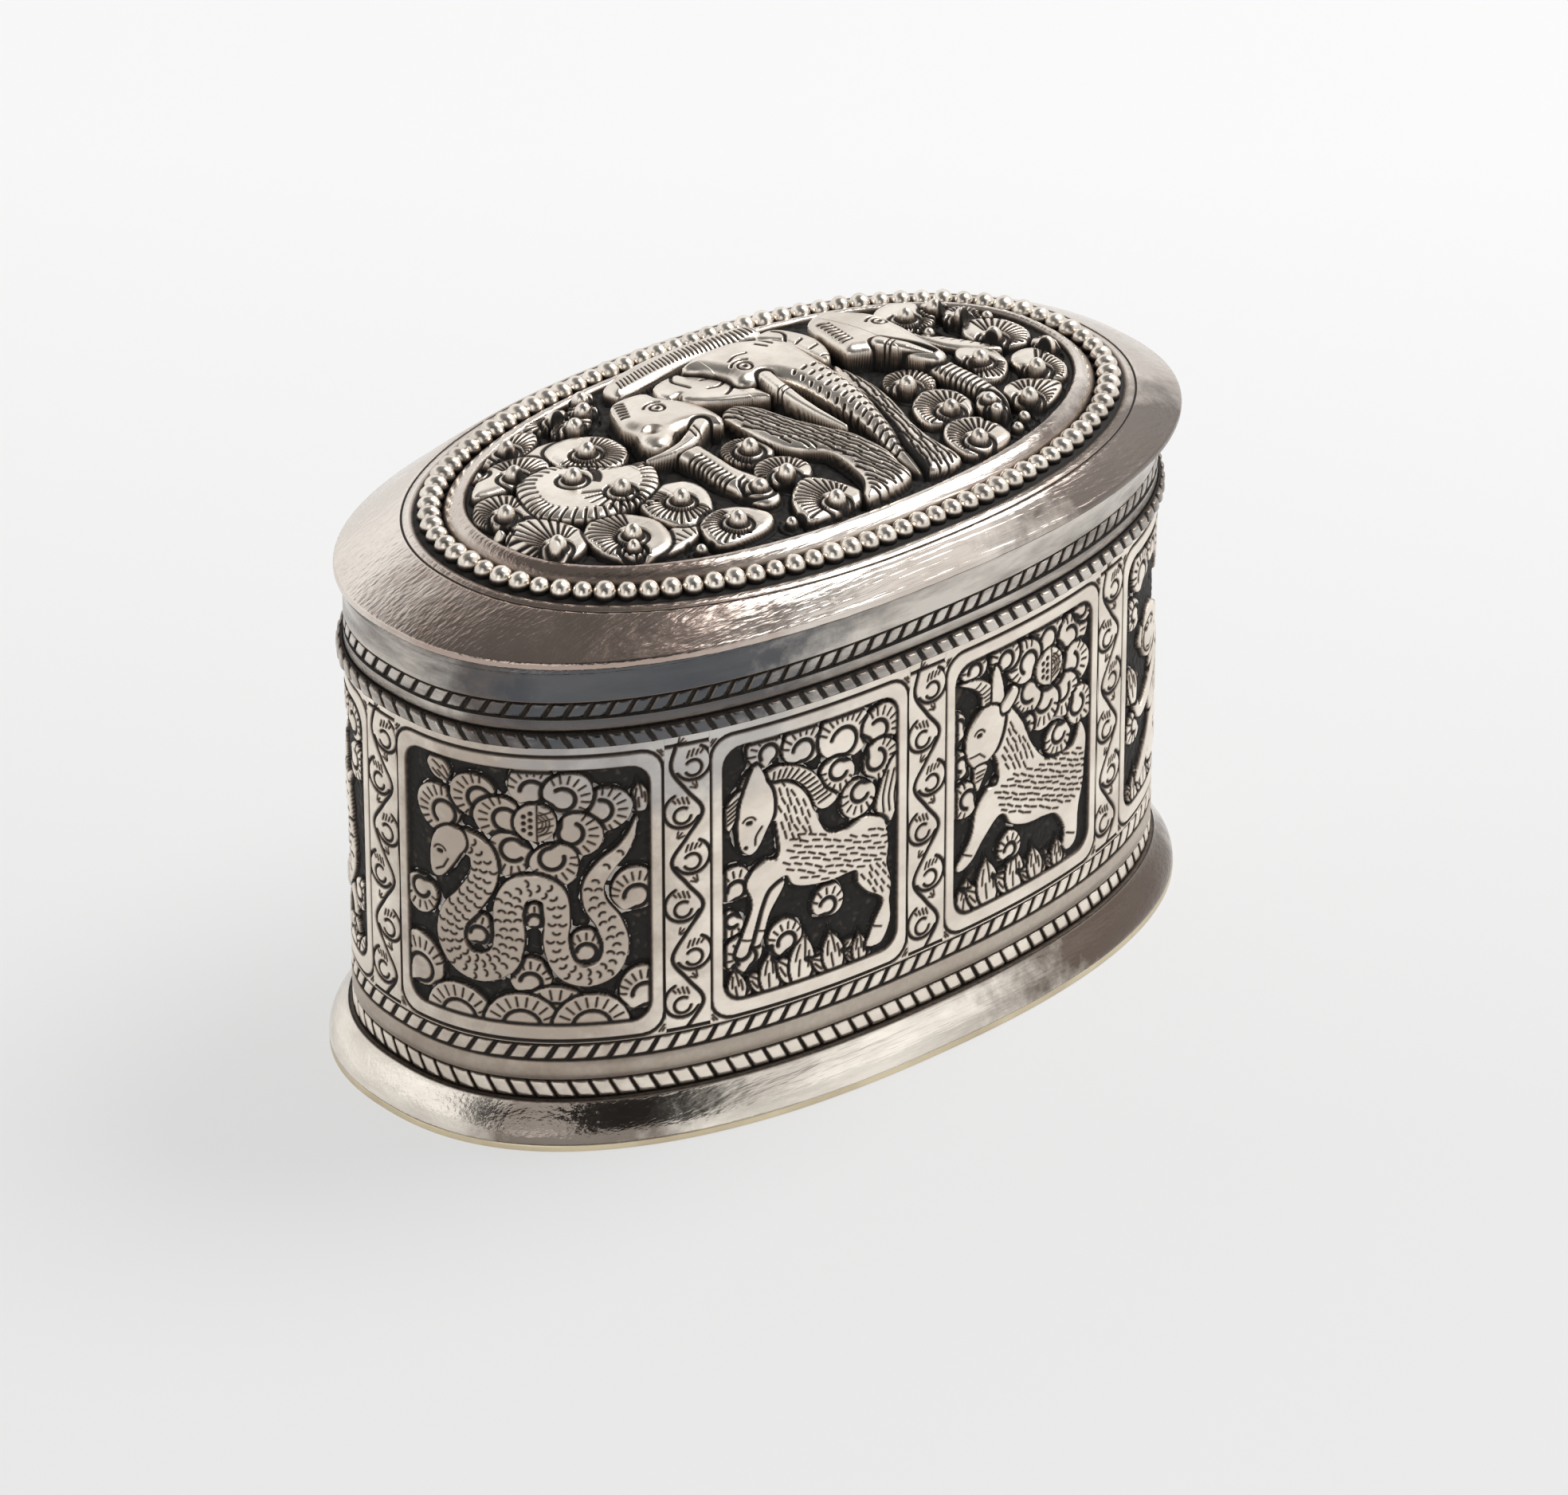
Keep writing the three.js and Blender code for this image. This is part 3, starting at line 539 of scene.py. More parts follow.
def repeat_tree() -> Tree:
    """A tree that sets copies of a piece at even steps along a closed line.

    Returns:
        The tree, with the inputs Line, Count, Piece, Uneven, Seed and Finish.
    """
    tree = bpy.data.node_groups.new("repeat_round", "GeometryNodeTree")
    for name, kind in (("Line", "Geometry"), ("Count", "Int"), ("Piece", "Object"), ("Uneven", "Float"),
                       ("Seed", "Int"), ("Finish", "Material")):
        tree.interface.new_socket(name, in_out="INPUT", socket_type=f"NodeSocket{kind}")
    tree.interface.new_socket("Pieces", in_out="OUTPUT", socket_type="NodeSocketGeometry")
    given = add_node(tree, "NodeGroupInput").outputs
    curve = add_node(tree, "GeometryNodeMeshToCurve", {"Mesh": given["Line"]}).outputs["Curve"]
    even = add_node(tree, "GeometryNodeResampleCurve", {"Curve": curve, "Count": given["Count"]})
    piece = add_node(tree, "GeometryNodeObjectInfo", {"Object": given["Piece"]})
    tangent = add_node(tree, "GeometryNodeInputTangent").outputs["Tangent"]
    turn = add_node(tree, "FunctionNodeAlignRotationToVector", {"Vector": tangent}, axis="X",
                    pivot_axis="Z")
    least, most = (calculate(tree, operation, 1.0, given["Uneven"]) for operation in ("SUBTRACT", "ADD"))
    chance = add_node(tree, "FunctionNodeRandomValue", {2: least, 3: most, "Seed": given["Seed"]},
                      data_type="FLOAT")
    placed = {"Points": even.outputs["Curve"], "Instance": piece.outputs["Geometry"],
              "Rotation": turn.outputs["Rotation"], "Scale": chance.outputs[1]}
    place = add_node(tree, "GeometryNodeInstanceOnPoints", placed)
    real = add_node(tree, "GeometryNodeRealizeInstances",
                    {"Geometry": place.outputs["Instances"]}).outputs[0]
    dressed = add_node(tree, "GeometryNodeSetMaterial", {"Geometry": real, "Material": given["Finish"]})
    add_node(tree, "NodeGroupOutput", {"Pieces": dressed.outputs["Geometry"]})
    return tree


def level_line(oval: Oval, outset: float, z: float) -> Array:
    """Points of a closed line round an oval, at one height."""
    x, y = oval.at(np.linspace(0, oval.perimeter, LINE_POINTS, endpoint=False), outset)
    return np.stack([x, y, np.full(x.size, z)], 1)


def repeat_round(name: str, tree: Tree, line: Array, count: int, piece: Thing,
                 uneven: float, seed: int, finish: Material) -> Thing:
    """Runs the tree on a closed line and keeps its result as a plain mesh.

    Args:
        name: The new object's name.
        tree: The tree that repeats a piece.
        line: Points of the line, in millimetres.
        count: How many copies to set.
        piece: What is copied; it is deleted by the caller.
        uneven: How much the copies' sizes differ.
        seed: Seed of those differences.
        finish: The copies' material.

    Returns:
        The object that holds all the copies.
    """
    mesh = bpy.data.meshes.new(name + "_line")
    edges = [(i, (i + 1) % len(line)) for i in range(len(line))]
    mesh.from_pydata((line * MM).tolist(), edges, [])
    host = add_object(name + "_line", mesh)
    modifier = host.modifiers.new("repeat", "NODES")
    modifier.node_group = tree
    values = {"Count": count, "Piece": piece, "Uneven": uneven, "Seed": seed, "Finish": finish}
    for item in tree.interface.items_tree:
        if item.item_type == "SOCKET" and item.in_out == "INPUT" and item.name in values:
            modifier[item.identifier] = values[item.name]
    bpy.context.view_layer.update()
    graph = bpy.context.evaluated_depsgraph_get()
    made = bpy.data.meshes.new_from_object(host.evaluated_get(graph), depsgraph=graph)
    made.name = name
    made.shade_smooth()
    bpy.data.objects.remove(host)
    return add_object(name, made)


def pillow(width: float, height: float, rise: float, lean: float) -> Thing:
    """One strand of a notched band: a slanted pad whose front faces -Y.

    Args:
        width: Its width along the band, in millimetres.
        height: Its height across the band.
        rise: How far it stands out.
        lean: How far its top lies to the right of its foot.

    Returns:
        The pad, as a closed object with dark edges.
    """
    steps, points, oxide = 7, [], []
    for j in range(steps):
        for i in range(steps):
            a, b = 2 * i / (steps - 1) - 1, 2 * j / (steps - 1) - 1
            swell = (1 - abs(a) ** 2.6) ** 0.5 * (1 - abs(b) ** 5) ** 0.5
            points.append((a * width / 2 + b * lean / 2, -rise * swell, b * height / 2))
            oxide.append(0.9 if abs(a) == 1 else 0.45 if abs(b) == 1 else 0.0)
    number, faces = grid_quads((steps, steps))
    faces.append(rim_of(number).tolist()[::-1])
    return add_mesh("strand", np.array(points), faces, np.array(oxide))


def bead(along: float, across: float, rise: float) -> Thing:
    """One bead of the lid's border, an egg cut off flat under its widest part."""
    rings, around = 6, 12
    points = [(0.0, 0.0, rise)]
    for k in range(1, rings + 1):
        angle = math.radians(105) * k / rings
        for i in range(around):
            turn = 2 * math.pi * i / around
            reach = math.sin(angle) ** 0.85
            points.append((along * reach * math.cos(turn), across * reach * math.sin(turn),
                           rise * math.cos(angle)))
    faces = [[0, 1 + i, 1 + (i + 1) % around] for i in range(around)]
    for k in range(rings - 1):
        a, b = 1 + k * around, 1 + (k + 1) * around
        faces += [[a + i, b + i, b + (i + 1) % around, a + (i + 1) % around] for i in range(around)]
    faces.append([1 + (rings - 1) * around + i for i in reversed(range(around))])
    oxide = np.array([1.0 if z < 0.2 * rise else 0.0 for _, _, z in points])
    return add_mesh("bead", np.array(points), faces, oxide)


class Slot(Enum):
    """The record's finishes."""

    POLISHED = "polished_silver"
    CHASED = "chased_silver"
    REPOUSSE = "repousse_silver"
    INSIDE = "inside_silver"


@dataclass(frozen=True)
class Patch:
    """A patch of colour, used for real stains and for painted shade and painted dark reflections: its middle
    and half sizes in millimetres, its colour and how much of it shows.
    """

    middle: Triple
    reach: Triple
    colour: Triple
    amount: float = 0.7


@dataclass(frozen=True)
class SilverLook:
    """One finish of the silver: its metal, its tarnish, its marks, and its patches of stain and of painted
    shade.
    """

    slot: Slot
    metal: Triple
    tarnish: Triple
    black: Triple = (0.012, 0.01, 0.008)
    film: Triple = (0.25, 0.185, 0.14)
    film_range: Point = (0.0, 0.5)
    black_range: Point = (0.35, 0.85)
    oxide_rough: float = 0.72
    oxide_metallic: float = 0.25
    tarnish_share: float = 0.4
    cloud_size: float = 14.0
    streak: float = 1.6
    polish: float = 0.22
    dull: float = 0.5
    scratch: float = 0.25
    dent: float = 0.3
    mark_depth: float = 0.0001
    patches: tuple[Patch, ...] = ()

    def material(self, name: str, groups: "Groups") -> Material:
        """Builds the finish's material.

        Args:
            name: The material's name.
            groups: The shared effects.

        Returns:
            The material.
        """
        made = bpy.data.materials.new(name)
        made.use_nodes = True
        tree = made.node_tree
        tree.nodes.clear()
        place = add_node(tree, "ShaderNodeTexCoord").outputs["Object"]
        clouds = {"Place": place, "Size": self.cloud_size, "Share": self.tarnish_share,
                  "Streak": self.streak}
        worn = add_node(tree, "ShaderNodeGroup", node_tree=groups.tarnish, inputs=clouds).outputs
        scars = {"Place": place, "Scratch": self.scratch, "Dent": self.dent}
        marks = add_node(tree, "ShaderNodeGroup", node_tree=groups.marks, inputs=scars).outputs
        oxide = add_node(tree, "ShaderNodeAttribute", attribute_name="oxide").outputs["Fac"]
        # The attribute holds real oxide in the grooves and grounds, and painted shade in the hollows; the
        # film and black colours below paint both.
        oxide_and_shade_cover = calculate(tree, "MULTIPLY", oxide, worn["Grain"], True)
        colour = mix_colours(tree, worn["Mask"], self.metal, self.tarnish)
        # Patches of colour: real stains, and painted shade and painted dark reflections, as noted at each
        # look.
        for patch in self.patches:
            where = {"Place": place, "Middle": [v * MM for v in patch.middle],
                     "Reach": [v * MM for v in patch.reach], "Amount": patch.amount}
            stain = add_node(tree, "ShaderNodeGroup", node_tree=groups.stain, inputs=where).outputs["Mask"]
            colour = mix_colours(tree, stain, colour, patch.colour)
        colour = mix_colours(tree, remap(tree, oxide_and_shade_cover, self.film_range), colour, self.film)
        colour = mix_colours(tree, remap(tree, oxide_and_shade_cover, self.black_range), colour, self.black)
        rough = remap(tree, worn["Rough"], target=(self.polish, self.dull))
        rough = add_node(tree, "ShaderNodeMix", {"Factor": oxide_and_shade_cover, 2: rough, 3: self.oxide_rough}).outputs[0]
        uneven = {"Strength": 1.0, "Distance": self.mark_depth, "Height": marks["Height"]}
        normal = add_node(tree, "ShaderNodeBump", uneven).outputs["Normal"]
        metallic = remap(tree, oxide_and_shade_cover, target=(1.0, self.oxide_metallic))
        surface = {"Base Color": colour, "Roughness": rough, "Metallic": metallic, "Normal": normal}
        shader = add_node(tree, "ShaderNodeBsdfPrincipled", surface)
        add_node(tree, "ShaderNodeOutputMaterial", {"Surface": shader.outputs[0]})
        return made


class Groups:
    """The effects that the finishes share, each a node group with named inputs and outputs."""

    CLOUD_RANGE = (0.38, 0.66)
    GRAIN_WAVES, GRAIN_RANGE, GRAIN_COVER = 1600.0, (0.3, 0.62), (0.88, 1.0)
    POLISH_WAVES = 240.0
    SCRATCH_WAVES, SCRATCH_STRETCH = 2000.0, (0.06, 1, 1.3)
    DENT_WAVES, DENT_GAIN = 170.0, 4.0
    STAIN_WAVES, STAIN_EDGE = 260.0, (1.65, 1.1)

    def __init__(self) -> None:
        """Builds the groups."""
        self.tarnish = self._tarnish()
        self.marks = self._marks()
        self.stain = self._stain()

    @staticmethod
    def _start(name: str, inputs: Iterable[tuple[str, str]]) -> tuple[Tree, bpy.types.NodeOutputs]:
        """Starts a group with its input sockets."""
        tree = bpy.data.node_groups.new(name, "ShaderNodeTree")
        for label, kind in inputs:
            tree.interface.new_socket(label, in_out="INPUT", socket_type=f"NodeSocket{kind}")
        return tree, add_node(tree, "NodeGroupInput").outputs

    @staticmethod
    def _end(tree: Tree, results: dict[str, Socket]) -> Tree:
        """Ends a group with its results."""
        for label in results:
            tree.interface.new_socket(label, in_out="OUTPUT", socket_type="NodeSocketFloat")
        add_node(tree, "NodeGroupOutput", results)
        return tree

    @staticmethod
    def _noise(tree: Tree, place: Socket, scale: Source, detail: float = 3.0,
               stretch: Triple | Socket = (1, 1, 1), rough: float = 0.5) -> Socket:
        """A noise over a place in metres, with a scale in waves per metre, stretched along some axes."""
        moved = add_node(tree, "ShaderNodeMapping", {"Vector": place, "Scale": stretch}).outputs["Vector"]
        values = {"Vector": moved, "Scale": scale, "Detail": detail, "Roughness": rough}
        return add_node(tree, "ShaderNodeTexNoise", values).outputs[0]

    def _tarnish(self) -> Tree:
        """Clouds of tarnish, the grain of the oxide, and the change of polish."""
        sockets = (("Place", "Vector"), ("Size", "Float"), ("Share", "Float"), ("Streak", "Float"))
        tree, given = self._start("tarnish_clouds", sockets)
        place = given["Place"]
        waves = calculate(tree, "DIVIDE", 1 / MM, given["Size"])
        scales = {"X": 1.0, "Y": 1.0, "Z": given["Streak"]}
        stretch = add_node(tree, "ShaderNodeCombineXYZ", scales).outputs[0]
        cloud = remap(tree, self._noise(tree, place, waves, 5.0, stretch, 0.62), self.CLOUD_RANGE)
        grain = remap(tree, self._noise(tree, place, self.GRAIN_WAVES, 2.0), self.GRAIN_RANGE,
                      self.GRAIN_COVER)
        return self._end(tree, {"Mask": calculate(tree, "MULTIPLY", cloud, given["Share"]), "Grain": grain,
                                "Rough": self._noise(tree, place, self.POLISH_WAVES, 4.0, rough=0.65)})

    def _marks(self) -> Tree:
        """Fine scratches and soft dents, as one height."""
        sockets = (("Place", "Vector"), ("Scratch", "Float"), ("Dent", "Float"))
        tree, given = self._start("hand_marks", sockets)
        scratch = self._noise(tree, given["Place"], self.SCRATCH_WAVES, 2.0, self.SCRATCH_STRETCH)
        dent = self._noise(tree, given["Place"], self.DENT_WAVES, 2.0)
        scratch = calculate(tree, "MULTIPLY", scratch, given["Scratch"])
        dent = calculate(tree, "MULTIPLY", calculate(tree, "MULTIPLY", dent, given["Dent"]), self.DENT_GAIN)
        return self._end(tree, {"Height": calculate(tree, "ADD", scratch, dent)})

    def _stain(self) -> Tree:
        """A patch with a ragged edge round a middle, used for stains and for painted shade."""
        sockets = (("Place", "Vector"), ("Middle", "Vector"), ("Reach", "Vector"), ("Amount", "Float"))
        tree, given = self._start("stain", sockets)
        vector = "ShaderNodeVectorMath"
        away = add_node(tree, vector, {0: given["Place"], 1: given["Middle"]},
                        operation="SUBTRACT").outputs[0]
        scaled = add_node(tree, vector, {0: away, 1: given["Reach"]}, operation="DIVIDE").outputs[0]
        size = add_node(tree, vector, {0: scaled}, operation="LENGTH").outputs["Value"]
        noise = self._noise(tree, given["Place"], self.STAIN_WAVES, 5.0, rough=0.65)
        ragged = calculate(tree, "ADD", size, noise)
        mask = remap(tree, ragged, self.STAIN_EDGE)
        return self._end(tree, {"Mask": calculate(tree, "MULTIPLY", mask, given["Amount"])})


BROWN = (0.11, 0.075, 0.058)
ROSE = (0.42, 0.31, 0.26)
BLUE = (0.3, 0.33, 0.38)
SHADE = (0.26, 0.19, 0.145)
UMBER = (0.14, 0.112, 0.098)
# The foot's two brown patches are painted dark reflections on its polished flare, at its front-left and its
# front-right.
FOOT_LOOK = SilverLook(Slot.POLISHED, (0.98, 0.91, 0.81), (0.14, 0.1, 0.075), tarnish_share=0.4,
                       cloud_size=16.0, streak=4.0, polish=0.05, dull=0.24, scratch=0.7,
                       patches=(Patch((-42, -19, 3), (15, 10, 6), BROWN, 0.8),
                                Patch((38, -24, 3), (32, 14, 6), BROWN, 0.93)))
RIM_LOOK = SilverLook(Slot.POLISHED, (0.78, 0.68, 0.48), (0.45, 0.36, 0.24), tarnish_share=0.6, polish=0.22,
                      dull=0.4)
# The wall's SHADE patch is painted shade over its left end; the blue patch tints the front-left of its top.
WALL_LOOK = SilverLook(Slot.CHASED, (0.98, 0.9, 0.79), (0.42, 0.33, 0.26), tarnish_share=0.36,
                       cloud_size=9.0, polish=0.2, dull=0.42,
                       patches=(Patch((-46, -14, 30), (21, 17, 30), SHADE, 0.62),
                                Patch((-34, -24, 46), (22, 14, 8), BLUE, 0.5)))
# The band's silver is darker than the wall's and heavily tarnished, partly real tarnish and partly painted
# dark reflection; its large near-black patch over the left and front is painted dark reflection too. The
# small brown patch is its seam.
BAND_LOOK = SilverLook(Slot.CHASED, (0.7, 0.65, 0.59), (0.17, 0.15, 0.135), tarnish_share=0.85,
                       cloud_size=16.0, streak=5.0, polish=0.12, dull=0.36, scratch=0.6,
                       patches=(Patch((-46, -12, 52), (4, 5, 12), BROWN, 0.8),
                                Patch((-38, -24, 53), (28, 18, 12), (0.085, 0.09, 0.1), 0.93)))
# The rose patch is tarnish on the bevel's left; the umber patch darkens the bevel's right front.
PLATE_LOOK = SilverLook(Slot.REPOUSSE, (0.84, 0.77, 0.7), (0.45, 0.36, 0.3), tarnish_share=0.6,
                        cloud_size=24.0, polish=0.1, dull=0.3, scratch=0.9,
                        patches=(Patch((-40, -16, 59), (26, 20, 12), ROSE, 0.75),
                                 Patch((33, -24, 59), (25, 12, 7), UMBER, 0.9)))
FIELD_LOOK = SilverLook(Slot.REPOUSSE, (0.99, 0.91, 0.81), (0.36, 0.28, 0.22), tarnish_share=0.4,
                        cloud_size=8.0, polish=0.15, dull=0.38)
INSIDE_LOOK = SilverLook(Slot.INSIDE, (0.6, 0.56, 0.52), (0.36, 0.31, 0.27), tarnish_share=0.6,
                         cloud_size=20.0, polish=0.3, dull=0.5)


class Painter:
    """Keeps one material for each look and dresses the pieces."""

    def __init__(self) -> None:
        """Starts with the shared effects and no material."""
        self.groups = Groups()
        self.made: dict[SilverLook, Material] = {}

    def material(self, look: SilverLook) -> Material:
        """The look's material, built when it is first asked for."""
        if look not in self.made:
            self.made[look] = look.material(f"{look.slot.value}_{len(self.made) + 1}", self.groups)
        return self.made[look]

    def dress(self, obj: Thing, look: SilverLook, body: str, node: str) -> Thing:
        """Gives a piece its material and its body, and hides the CAD node that it stands for."""
        obj.data.materials.clear()
        obj.data.materials.append(self.material(look))
        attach(obj, body)
        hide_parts(node)
        LOG.info("%s: %d faces on %s", obj.name, len(obj.data.polygons), body)
        return obj


GROUND = -0.5
CURL_SIZE = 1.34
STRIP_HALF = 2.5
WINDOW_INSET = 4.1
WINDOW_LOW, WINDOW_HIGH = 14.0, 44.6
ZONE_LOW, FRAME_HIGH = 11.9, 46.3
PANEL_FLOOR, WINDOW_CORNER, GROUND_GRAIN = 14.2, 2.2, 0.035


def scroll(r: Relief, x: float, y: float, radius: float, facing: float) -> None:
    """Draws a curled leaf: a button with a thick line round it, and hatches on the side that it faces."""
    radius *= CURL_SIZE
    turn = math.radians(facing)
    angle = np.radians(np.arange(0, 360, 24))
    reach = radius * (1 + 0.16 * np.cos(angle) ** 3)
    r.form(np.stack([x + reach * np.cos(angle + turn), y + reach * np.sin(angle + turn)], 1), 0.0, 0.3, 0.1,
           0.6)
    mx, my = x - 0.2 * radius * math.cos(turn), y - 0.2 * radius * math.sin(turn)
    root = [(x + radius * math.cos(turn + 2.5), y + radius * math.sin(turn + 2.5))]
    r.groove(np.concatenate([root, arc(mx, my, 0.5 * radius, facing + 165, facing + 440)]), 0.5, 0.22)
    r.fan(mx, my, 0.76 * radius, 1.1 * radius, facing - 72, facing + 72, max(4, round(3.2 * radius)), 0.24,
          0.14)


def blade(r: Relief, x: float, y: float, length: float, width: float, angle: float,
          bend: float = 0.0) -> None:
    """Draws a pointed leaf that grows from a place at an angle and bends, with strokes along it."""
    share = np.linspace(0, 1, 8)
    heading = np.radians(angle + bend * share)
    forward = np.stack([np.cos(heading), np.sin(heading)], 1)
    spine = np.array([x, y]) + np.cumsum(forward, 0) * length / 8 - forward[0] * length / 8
    half = width / 2 * np.sin(np.pi * np.clip(share + 0.12, 0, 1)) ** 0.8
    side = np.stack([-forward[:, 1], forward[:, 0]], 1) * half[:, None]
    r.form(np.concatenate([spine + side, (spine - side)[::-1]]), 0.0, 0.3, 0.1, 0.45)
    for across, first, last in ((-0.55, 2, 5), (-0.2, 3, 7), (0.2, 1, 4), (0.55, 3, 6)):
        r.groove((spine + across * side)[first:last], 0.24, 0.14)


def tuft(r: Relief, x: float, y: float, size: float, lean: float = 0.0) -> None:
    """Draws three leaves that spread from one foot."""
    size *= 1.2
    for turn, share in ((34, 0.8), (-34, 0.8), (0, 1.0)):
        blade(r, x, y - 0.4, size * share, 0.42 * size * share, 90 + turn + lean, 0.6 * turn)


def flora(r: Relief, scrolls: Sequence[tuple[float, float, float, float]],
          tufts: Sequence[float | Triple]) -> None:
    """Draws a panel's curled leaves, and tufts along its lower edge.

    Args:
        r: The sheet.
        scrolls: The place, radius and direction of each curled leaf.
        tufts: The place of each tuft, or its place, size and lean.
    """
    for values in scrolls:
        scroll(r, *values)
    for i, given in enumerate(tufts):
        size, lean = ((4.4, -6), (5.6, 0), (4.8, 6))[i % 3]
        x, size, lean = given if isinstance(given, tuple) else (given, size, lean)
        tuft(r, x, PANEL_FLOOR, size, lean)


def scallops(r: Relief, middles: Sequence[float], y: float = PANEL_FLOOR, radius: float = 3.2) -> None:
    """Draws a row of half discs that overlap, with an inner arc and hatches, like waves or hills."""
    for x in middles:
        r.form(arc(x, y, radius, 0, 180), 0.0, 0.3, 0.1, 0.5, smooth=False)
        r.groove(arc(x, y, 0.5 * radius, 0, 180), 0.45, 0.2)
        r.fan(x, y, 0.62 * radius, 0.88 * radius, 25, 155, 8, 0.24, 0.14)


def seed_head(r: Relief, x: float, y: float, petals: Path, radius: float = 2.1,
              petal: float = 1.95) -> None:
    """Draws a flower: a seed head half dotted and half netted, with rolled petals round it."""
    for px, py in petals:
        scroll(r, px, py, petal, math.degrees(math.atan2(py - y, px - x)))
    r.form(arc(x, y, radius, 0, 350), 0.1, 0.8, 0.2, smooth=False)
    r.groove([(x + 0.2, y - 0.9 * radius), (x + 0.2, y + 0.9 * radius)], 0.2)
    for a in (-1.2, -0.4, 0.4, 1.2):
        r.groove([(x + 0.3, y + a - 0.3), (x + radius - 0.35 - 0.2 * abs(a), y + a + 0.25)], 0.18)
        if a > -1:
            r.groove(arc(x + 0.1, y, 0.7 + 0.45 * (a + 0.4), -75, 75), 0.18)
    for px, py in ((-0.5, 1.2), (-0.5, 0.4), (-0.5, -0.4), (-0.5, -1.2), (-1.2, 0.8), (-1.2, 0),
                   (-1.2, -0.8)):
        r.ring(x + px, y + py, 0.12, 0.3, 0.16)


def eye(r: Relief, x: float, y: float, radius: float = 0.45) -> None:
    """Draws an eye: a dark almond under a brow."""
    r.groove([(x - 0.16, y), (x + 0.16, y)], 0.5, 0.2)
    r.groove(arc(x, y - 0.1, radius + 0.35, 25, 155), 0.22, 0.14)


def scales(r: Relief, line: Array, widths: Sequence[float], pitch: float = 0.95) -> None:
    """Draws rows of small arcs over a body that follows a line."""
    length = np.concatenate([[0], np.cumsum(np.hypot(*np.diff(line, axis=0).T))])
    for row, at in enumerate(np.arange(3.8, length[-1] - 1, pitch)):
        x, y = np.interp(at, length, line[:, 0]), np.interp(at, length, line[:, 1])
        dx, dy = np.interp(at + 0.3, length, line[:, 0]) - x, np.interp(at + 0.3, length, line[:, 1]) - y
        heading = math.degrees(math.atan2(dy, dx))
        half = np.interp(at / length[-1], np.linspace(0, 1, len(widths)), widths) / 2 - 0.45
        for offset in np.arange(-3 + 0.5 * (row % 2), 3.1) * 1.1:
            if abs(offset) < half:
                nx, ny = -math.sin(math.radians(heading)), math.cos(math.radians(heading))
                r.groove(arc(x + offset * nx, y + offset * ny, 0.42, heading - 60, heading + 60), 0.26,
                         0.14)


def draw_snake(r: Relief) -> None:
    """The snake with a flower above it and waves below."""
    body = [(6.6, 32.6), (8.6, 35), (11.2, 34.3), (11.6, 31.3), (9.9, 28.2), (8, 25.8), (7.6, 23),
            (9, 20.8), (11.4, 20.3), (13.6, 21.6), (14.4, 24.4), (14.2, 27.6), (15.2, 30), (17.2, 30.7),
            (19.1, 29.6), (19.5, 26.8), (19.3, 23.8), (20.2, 21), (22.4, 19.9), (24.8, 20.8), (25.7, 23.4),
            (24.9, 26.2), (23.5, 28.6), (23.4, 31), (24.8, 33.2), (26.4, 34.8), (27.4, 36.6), (27.9, 38.4)]
    widths = [2.8, 3.2, 3.5, 3.5, 3.2, 2.8, 2.7, 2.9, 2.1, 0.3]
    blade(r, 5.2, 44, 4.6, 2.4, -30, -20)
    blade(r, 28.4, 39.2, 4.4, 2.0, 88, 10)
    flora(r, ((6.6, 38.2, 2.1, 150), (3.7, 27.4, 1.7, 265), (11, 24.6, 1.5, 90), (17.1, 26.9, 1.2, 90),
              (22.5, 23.2, 1.6, 90), (27.8, 29.6, 2.0, 100), (16.6, 19.6, 1.7, 90), (3.4, 18.6, 2.4, 100),
              (28.6, 17.6, 2.0, 100)), ())
    seed_head(r, 17.3, 38.4, ((24.6, 39.8), (10.8, 40.8), (17, 42.6), (20.6, 41.6), (13.6, 38.6),
                              (21.5, 37), (14.6, 34.6), (19.2, 33.7)), 2.3)
    scallops(r, (19.2,), 14.6, 4.2)
    scallops(r, (8.5, 15.6, 23), 13.6, 4.2)
    line = r.tube(body, widths, 0.12, 0.62)
    scales(r, line, widths, 1.05)
    r.form([(5.2, 31), (5.2, 33.4), (5.9, 35.4), (7.6, 36.6), (9.3, 36.3), (9.8, 34.8), (8.9, 33.2),
            (7.9, 31.6), (6.7, 30.2), (5.7, 30.1)], 0.16, 0.9, 0.25)
    r.groove([(6.1, 31.0), (7.0, 31.5), (7.6, 32.6)], 0.24)
    eye(r, 6.6, 33.3)


